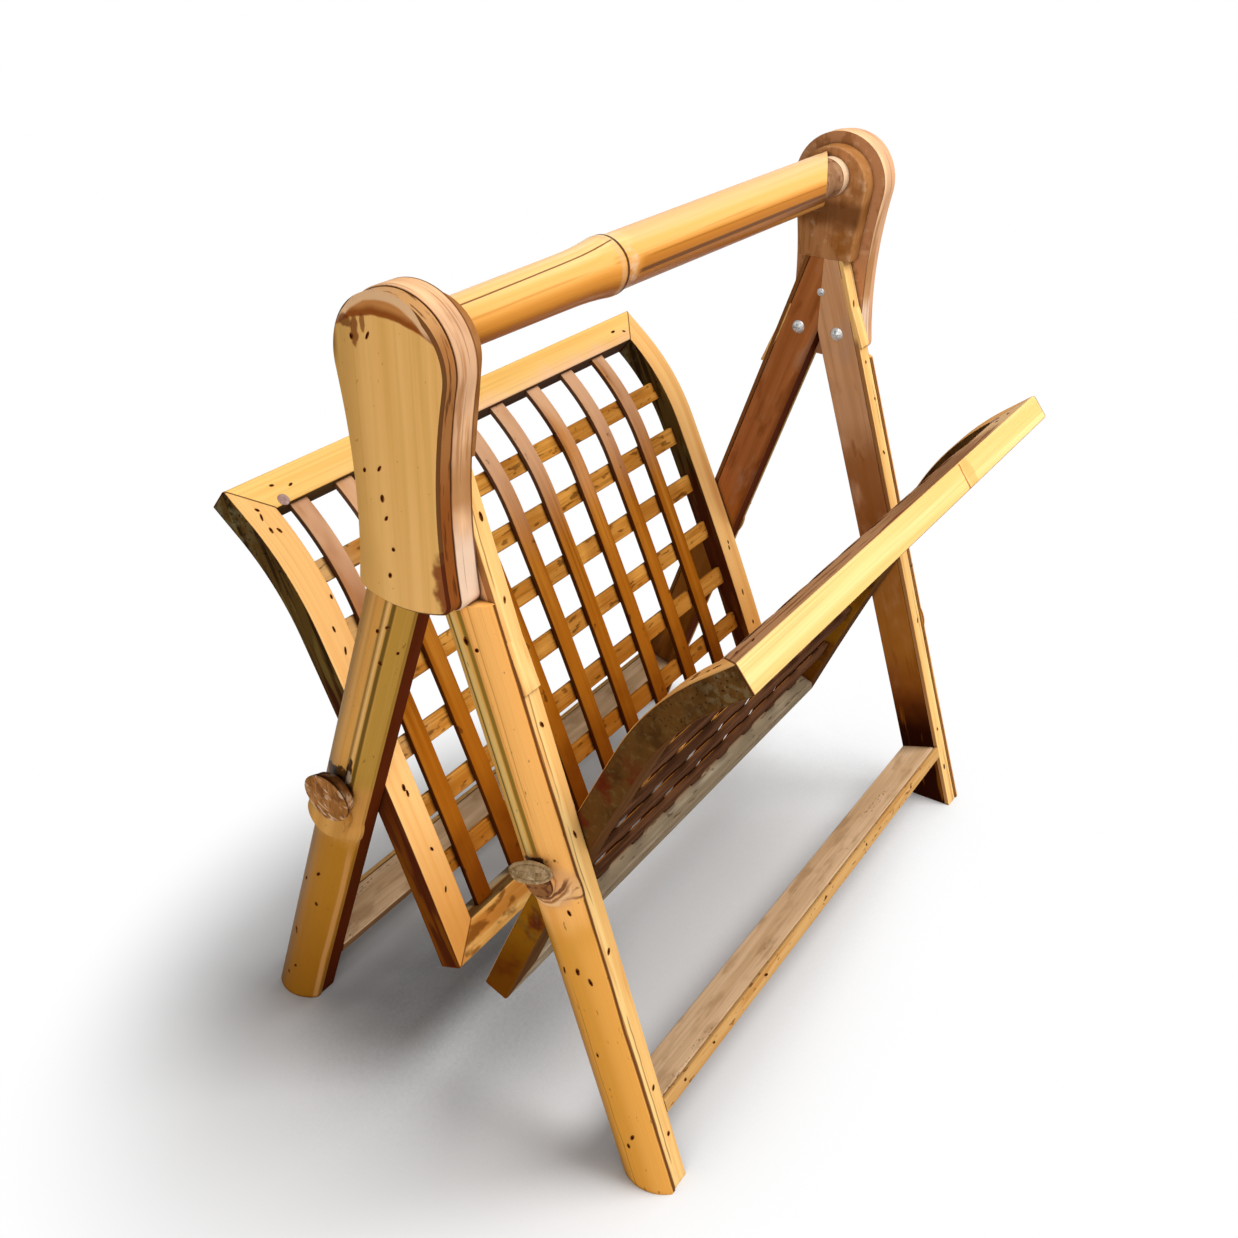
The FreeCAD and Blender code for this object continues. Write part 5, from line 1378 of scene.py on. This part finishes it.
@dataclass(frozen=True)
class BranchStub:
    """The torn cap of a cut side branch at a leg's node, in millimetres and degrees.

    Rings cut into its face have widths, as shares of its ends' rounding, and depths, as shares of hollow.
    Lumps and grain roughen it: the lumps' size is a share of tall, and both depths are shares of rough.
    """

    height: float
    across: float
    width: float
    tall: float
    thick: float
    tilt: float
    rough: float
    finish: Bamboo
    neck: float = 0.8
    reach: float = 188.0
    hollow: float = 0.6
    rim_share: float = 0.3
    lump_share: float = 0.6
    lump_depth: float = 3.5
    grain: float = 3.0
    grain_depth: float = 0.45
    corners: int = 32
    rings: tuple[tuple[float, float], ...] = ((0.06, -0.3), (0.12, -0.6), (0.12, 0.5))

    def model(self, name: str) -> Piece:
        """Models the cap at the origin, its cut face up and the leg's length along X.

        Args:
            name: The cap's name.

        Returns:
            The cap.
        """
        Bench.clear()
        bpy.ops.mesh.primitive_cylinder_add(vertices=self.corners, radius=0.5, depth=1.0)
        cap = Bench.open_up()
        cap.name = name
        bpy.ops.mesh.select_all(action="SELECT")
        bpy.ops.transform.resize(value=(self.tall * MM, self.width * MM, self.thick * MM))
        Bench.pick_facing(cap, -UPWARD)
        bpy.ops.transform.resize(value=(self.neck, self.neck, 1.0))
        Bench.pick_facing(cap, UPWARD)
        bpy.ops.mesh.bevel(offset=self.thick * self.rim_share * MM, segments=3, affect="EDGES")
        Bench.pick_facing(cap, UPWARD, 0.99)
        end_round = self.tall * min(1.0, self.tall / self.width)
        for share, depth in self.rings:
            bpy.ops.mesh.inset(thickness=end_round * share * MM, depth=self.hollow * depth * MM)
        bpy.ops.mesh.poke()
        bpy.ops.mesh.select_all(action="SELECT")
        bpy.ops.mesh.subdivide(number_cuts=2, smoothness=0.0)
        Bench.close(cap)
        Bench.roughen(cap, self.tall * self.lump_share, self.rough * self.lump_depth, 0)
        Bench.roughen(cap, self.grain, self.rough * self.grain_depth)
        return cap

    def build(self, row: Row, side: Side, dresser: Dresser) -> None:
        """Models the cap and seats it on the stub of its leg's outer split.

        Args:
            row: The leg's row.
            side: The leg's end of the rack.
            dresser: Keeper of the finishes.
        """
        cap = self.model(f"{row.word}_{side.word}_leg_stub_cap")
        depth = row.value * LEG_LINE.depth(self.height, self.across)
        middle = Vector((side.value * self.reach, depth, self.height)) * MM
        place = Bench.standing(middle, Vector((side.value, 0, 0)), LEG_LINE.upward(row))
        cap.data.transform(place @ Matrix.Rotation(math.radians(self.tilt), 4, "Y"))
        Bench.smooth(cap, 45.0)
        dresser.clothe(cap, self.finish)
        fit_out(cap)


@dataclass(frozen=True)
class StripStep:
    """The thickened node of a leg's edge strip: a wedge with a torn lower end, in millimetres.

    Height is that of the lower end. The wedge lies from_middle of the rack along X, and across from the
    leg's middle line.
    """

    height: float
    width: float = 10.2
    length: float = 40.0
    thick: float = 3.2
    taper: float = 0.9
    bevel: float = 0.4
    from_middle: float = 170.25
    across: float = 12.0
    grain: float = 3.0
    grain_depth: float = 0.35

    def model(self, name: str) -> Piece:
        """Models the wedge at the origin, its thin end along X.

        Args:
            name: The wedge's name.

        Returns:
            The wedge.
        """
        Bench.clear()
        bpy.ops.mesh.primitive_cube_add(size=1.0)
        step = Bench.open_up()
        step.name = name
        bpy.ops.mesh.select_all(action="SELECT")
        bpy.ops.transform.resize(value=(self.length * MM, self.width * MM, self.thick * MM))
        Bench.pick_facing(step, Vector((1, 0, 0)))
        bpy.ops.transform.translate(value=(0, 0, -self.thick * self.taper * MM))
        bpy.ops.mesh.select_all(action="SELECT")
        bpy.ops.mesh.subdivide(number_cuts=6)
        Bench.close(step)
        bevel = step.modifiers.new("rounding", "BEVEL")
        bevel.width = self.bevel * MM
        bevel.segments = 2
        bpy.context.view_layer.objects.active = step
        bpy.ops.object.modifier_apply(modifier=bevel.name)
        Bench.roughen(step, self.grain, self.grain_depth)
        return step

    def build(self, row: Row, side: Side, dresser: Dresser) -> None:
        """Models the wedge and sets it on the strip's outer face.

        Args:
            row: The leg's row.
            side: The leg's end of the rack.
            dresser: Keeper of the finishes.
        """
        leg = f"{row.word}_{side.word}_leg"
        step = self.model(f"{leg}_strip_step")
        middle = self.height + self.length / 2 * math.cos(LEG_LINE.lean)
        depth = row.value * LEG_LINE.depth(middle, self.across)
        near = Vector((side.value * self.from_middle, depth, middle)) * MM
        inward, upward = -LEG_LINE.outward(row), LEG_LINE.upward(row)
        step.data.transform(Bench.seat(f"{leg}_edge_strip", near, inward, upward))
        Bench.smooth(step, 35.0)
        dresser.clothe(step, STRIP_STEP)
        fit_out(step)


@dataclass(frozen=True)
class PegEnd:
    """The end of the peg across a panel's mitre: a low disc with a worn rim, in millimetres."""

    radius: float = 2.9
    height: float = 0.5
    ring_share: float = 0.3
    rise: float = 0.12
    dish: float = 0.1
    corners: int = 28
    spot: Triple = (-141.5, 116.1, 266.3)
    inward: Triple = (0.0, 0.63, -0.78)

    def build(self, dresser: Dresser) -> None:
        """Models the peg end and sets one on each panel's top rail.

        Args:
            dresser: Keeper of the finishes.
        """
        Bench.clear()
        bpy.ops.mesh.primitive_cylinder_add(
            vertices=self.corners, radius=self.radius * MM, depth=self.height * MM
        )
        peg = Bench.open_up()
        Bench.pick_facing(peg, UPWARD)
        for depth in (self.rise, -self.dish):
            bpy.ops.mesh.inset(thickness=self.radius * self.ring_share * MM, depth=depth * MM)
        Bench.close(peg)
        for row in Row:
            half_turn = Matrix.Diagonal((row.value, row.value, 1))
            near = half_turn @ Vector(self.spot) * MM
            inward = half_turn @ Vector(self.inward)
            place = Bench.seat(f"{row.word}_panel_top_rail", near, inward, Vector((1, 0, 0)))
            piece = Bench.copies(peg, [place], f"{row.word}_panel_mitre_peg_end")
            Bench.smooth(piece)
            dresser.clothe(piece, PEG)
            fit_out(piece)
        bpy.data.objects.remove(peg)


# Nails in the legs' outer splits: height above the floor and distance outwards from the leg's middle line.
SPLIT_NAILS = {
    Row.REAR: (
        (251, -3.4), (247, 1.1), (238, -9.2), (232, -3.9), (96, 1.9),
        (87, 9.5), (75, -0.8), (48, 8), (23, 3), (15, 6.5),
    ),
    Row.FRONT: (
        (258, 0), (256, 4.7), (114, 4.2), (111, -3.4), (110, 8.3),
        (71, 0.6), (143, 8.5), (30, 5.2), (24, 1.9),
    ),
}
# Nails in the legs' edge strips: height above the floor and distance from the rack's middle along X.
STRIP_NAILS = (
    (305, 168.4), (273, 169.3), (252, 171.7), (222, 169.8),
    (174, 170), (120, 171.2), (50, 169.3), (25, 168.6),
)
# Nails in the cheeks' plates: distance along Y and height.
CHEEK_NAILS = (
    (14.4, 375), (6.6, 376.8), (13.6, 325), (5.9, 327.5),
    (5.6, 315.7), (4.4, 308), (2, 295.9), (4.7, 284.2),
)
# Nails in the rear panel's left stile and top rail, in the frame. A right stile has CROSSING_NAILS alone.
STILE_NAILS = (
    (-149.5, 84, 230), (-156, 78, 218), (-155, 73, 208), (-155.6, 43.7, 144), (-154.8, 42, 141),
    (-154.2, 30, 113), (-155.5, 22, 93), (-157, 116.7, 266.8), (-157.7, 113.7, 264.3), (-158, 108, 259.7),
    (-154.3, 107, 258.5),
)
CROSSING_NAILS = STILE_NAILS[3:7]
RAIL_NAILS = ((-141.7, 122.6, 271.6), (-132.7, 120, 269.5), (138, 121, 270.5), (147, 119, 269))
# Nails along the stretchers' edge strips, by their place along X, and those strips' depth and height.
STRETCHER_NAILS = (54.8, 1.2, -68, -121, -147.6, 120)
STRETCHER_DEPTH, STRETCHER_HEIGHT = 109, 37.5
# Outer faces that carry nails: plates and splits along X, edge strips out from the leg's middle line.
PLATE_OUTSIDE, SPLIT_OUTSIDE, STRIP_OUTSIDE = 195, 186, 13.2
# The run of the cheeks' nails, and the ways into the rear panel and along its stiles by their Y and Z.
CHEEK_RUN = Vector((0, 0.25, -1))
PANEL_INWARD = (0.85, -0.5)
STILE_RUN = (0.4, 0.9)


def end_nails(side: Side) -> list[NailRow]:
    """Lists the nails of one end's cheek and legs.

    Args:
        side: The end of the rack.

    Returns:
        One row for each carrier.
    """
    end = side.value
    inward = Vector((-end, 0, 0))
    cheek = f"{side.word}_cheek"
    spots = tuple((end * PLATE_OUTSIDE, y, z) for y, z in CHEEK_NAILS)
    rows = [NailRow(f"{cheek}_nails", f"{cheek}_face_plate", inward, CHEEK_RUN, spots)]
    for row in Row:
        leg = f"{row.word}_{side.word}_leg"
        upward, outward = LEG_LINE.upward(row), LEG_LINE.outward(row)
        spots = tuple(
            (end * SPLIT_OUTSIDE, row.value * LEG_LINE.depth(z, across), z)
            for z, across in SPLIT_NAILS[row]
        )
        rows.append(NailRow(f"{leg}_split_nails", f"{leg}_outer_split", inward, upward, spots))
        spots = tuple((end * x, row.value * LEG_LINE.depth(z, STRIP_OUTSIDE), z) for z, x in STRIP_NAILS)
        rows.append(NailRow(f"{leg}_strip_nails", f"{leg}_edge_strip", -outward, upward, spots))
    return rows


def row_nails(row: Row) -> list[NailRow]:
    """Lists the nails of one panel and stretcher.

    Args:
        row: The long side of the rack.

    Returns:
        One row for each carrier.
    """
    turn = row.value
    panel, strip = f"{row.word}_panel", f"{row.word}_stretcher_edge_strip"
    inward, stile_run = (Vector((0, y * turn, z)) for y, z in (PANEL_INWARD, STILE_RUN))
    lengthwise = Vector((1, 0, 0))
    rows = []
    for side, wanted in ((Side.LEFT, STILE_NAILS), (Side.RIGHT, CROSSING_NAILS)):
        stile = f"{panel}_{side.word}_stile"
        spots = tuple((-x * side.value, y * turn, z) for x, y, z in wanted)
        rows.append(NailRow(f"{stile}_nails", stile, inward, stile_run, spots))
    spots = tuple((x * turn, y * turn, z) for x, y, z in RAIL_NAILS)
    rows.append(NailRow(f"{panel}_rail_nails", f"{panel}_top_rail", inward, lengthwise, spots))
    spots = tuple((-x * turn, STRETCHER_DEPTH * turn, STRETCHER_HEIGHT) for x in STRETCHER_NAILS)
    rows.append(NailRow(f"{row.word}_stretcher_nails", strip, -LEG_LINE.outward(row), lengthwise, spots))
    return rows


@dataclass(frozen=True)
class Cheek:
    """One keyhole-shaped end: face plate, backing board, core block and handle plug."""

    side: Side

    def dress(self, dresser: Dresser) -> None:
        """Gives the cheek's nodes their finishes.

        Args:
            dresser: Keeper of the finishes.
        """
        cheek = f"{self.side.word}_cheek"
        dresser.dress(f"{cheek}_face_plate", CHEEK_SKIN if self.side is Side.LEFT else CHEEK_SKIN_FAR)
        dresser.dress(f"{cheek}_backing_board", BOARD)
        dresser.dress(f"{cheek}_core_block", BLOCK)
        dresser.dress(f"{self.side.word}_handle_plug", PLUG)


@dataclass(frozen=True)
class Leg:
    """One leg: core, edge strip and half-round outer split."""

    row: Row
    side: Side
    stub: BranchStub
    step: StripStep

    def build(self, dresser: Dresser) -> None:
        """Models the leg's branch stub and the step in its edge strip."""
        self.stub.build(self.row, self.side, dresser)
        self.step.build(self.row, self.side, dresser)

    def dress(self, dresser: Dresser) -> None:
        """Gives the leg's nodes their finishes.

        Args:
            dresser: Keeper of the finishes.
        """
        leg = f"{self.row.word}_{self.side.word}_leg"
        front = self.row is Row.FRONT
        dresser.dress(f"{leg}_core", CORE_PALE if front else CORE_BROWN)
        dresser.dress(f"{leg}_edge_strip", STRIP_FRONT if front else STRIP_REAR)
        dresser.dress(f"{leg}_outer_split", SPLIT_FRONT if front else SPLIT_REAR)


@dataclass(frozen=True)
class Stretcher:
    """One stretcher: weathered slat and yellow edge strip."""

    row: Row

    def dress(self, dresser: Dresser) -> None:
        """Gives the stretcher's nodes their finishes."""
        dresser.dress(f"{self.row.word}_stretcher_slat", WEATHERED)
        dresser.dress(f"{self.row.word}_stretcher_edge_strip", STRIP_STRETCHER)


@dataclass(frozen=True)
class LatticePanel:
    """One curved lattice panel: mitred frame, upright slats and cross slats."""

    row: Row
    uprights: int = 9

    def dress(self, dresser: Dresser) -> None:
        """Gives the panel's nodes their finishes.

        Args:
            dresser: Keeper of the finishes.
        """
        panel = f"{self.row.word}_panel"
        front = self.row is Row.FRONT
        dresser.dress(f"{panel}_top_rail", RAIL_FRONT if front else RAIL_REAR)
        dresser.dress(f"{panel}_bottom_rail", RAIL_LOW_FRONT if front else RAIL_LOW)
        for side in Side:
            dresser.dress(f"{panel}_{side.word}_stile", STILE_FRONT if front else STILE_REAR)
        for number in range(1, self.uprights + 1):
            dresser.dress(f"{panel}_upright_slat_{number}", UPRIGHT_FRONT if front else UPRIGHT)
        dresser.dress(f"{panel}_cross_slats", CROSS_FRONT if front else CROSS)


@dataclass(frozen=True)
class Handle:
    """The pole handle."""

    node: str = "handle_pole"

    def dress(self, dresser: Dresser) -> None:
        """Gives the pole its finish."""
        dresser.dress(self.node, POLE)


@dataclass(frozen=True)
class Fasteners:
    """Screws and bamboo pins."""

    screws: tuple[str, ...] = ("leg_screws", "seam_screws")
    pins: tuple[str, ...] = ("panel_crossing_pins", "panel_corner_pins")

    def dress(self, dresser: Dresser) -> None:
        """Gives the screws and pins their finishes.

        Args:
            dresser: Keeper of the finishes.
        """
        for nodes, finish in ((self.screws, ZincSteel()), (self.pins, BLOCK)):
            for node in nodes:
                dresser.dress(node, finish)


# Branch stubs and strip steps of the legs; the far legs' stubs are small.
SMALL_STUB = BranchStub(
    height=160, across=0.0, width=17, tall=16, thick=3.5, tilt=10, rough=0.8, finish=STUB
)
LEGS = (
    Leg(
        Row.REAR, Side.LEFT,
        BranchStub(
            height=155.0, across=1.6, width=28, tall=23, thick=7.0, tilt=0, rough=0.55,
            finish=STUB, reach=189.0,
        ),
        StripStep(236),
    ),
    Leg(
        Row.FRONT, Side.LEFT,
        BranchStub(
            height=162.8, across=1.8, width=24.5, tall=10.0, thick=3.6, tilt=36, rough=0.22,
            finish=STUB_GREY, reach=188.5,
        ),
        StripStep(236),
    ),
    Leg(Row.REAR, Side.RIGHT, SMALL_STUB, StripStep(262)),
    Leg(Row.FRONT, Side.RIGHT, replace(SMALL_STUB, height=123, width=16), StripStep(281)),
)


def main() -> None:
    """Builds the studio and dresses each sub-assembly in order."""
    logging.basicConfig(level=logging.INFO, format="%(name)s: %(message)s")
    Viewpoint().build()
    Studio().build()
    dresser = Dresser()
    for leg in LEGS:
        leg.build(dresser)
        leg.dress(dresser)
    for side in Side:
        Cheek(side).dress(dresser)
    for row in Row:
        Stretcher(row).dress(dresser)
        LatticePanel(row).dress(dresser)
    Handle().dress(dresser)
    Fasteners().dress(dresser)
    PegEnd().build(dresser)
    nail_rows = [nails for side in Side for nails in end_nails(side)]
    nail_rows += [nails for row in Row for nails in row_nails(row)]
    Nails().build(nail_rows, dresser)


if __name__ == "__main__":
    main()
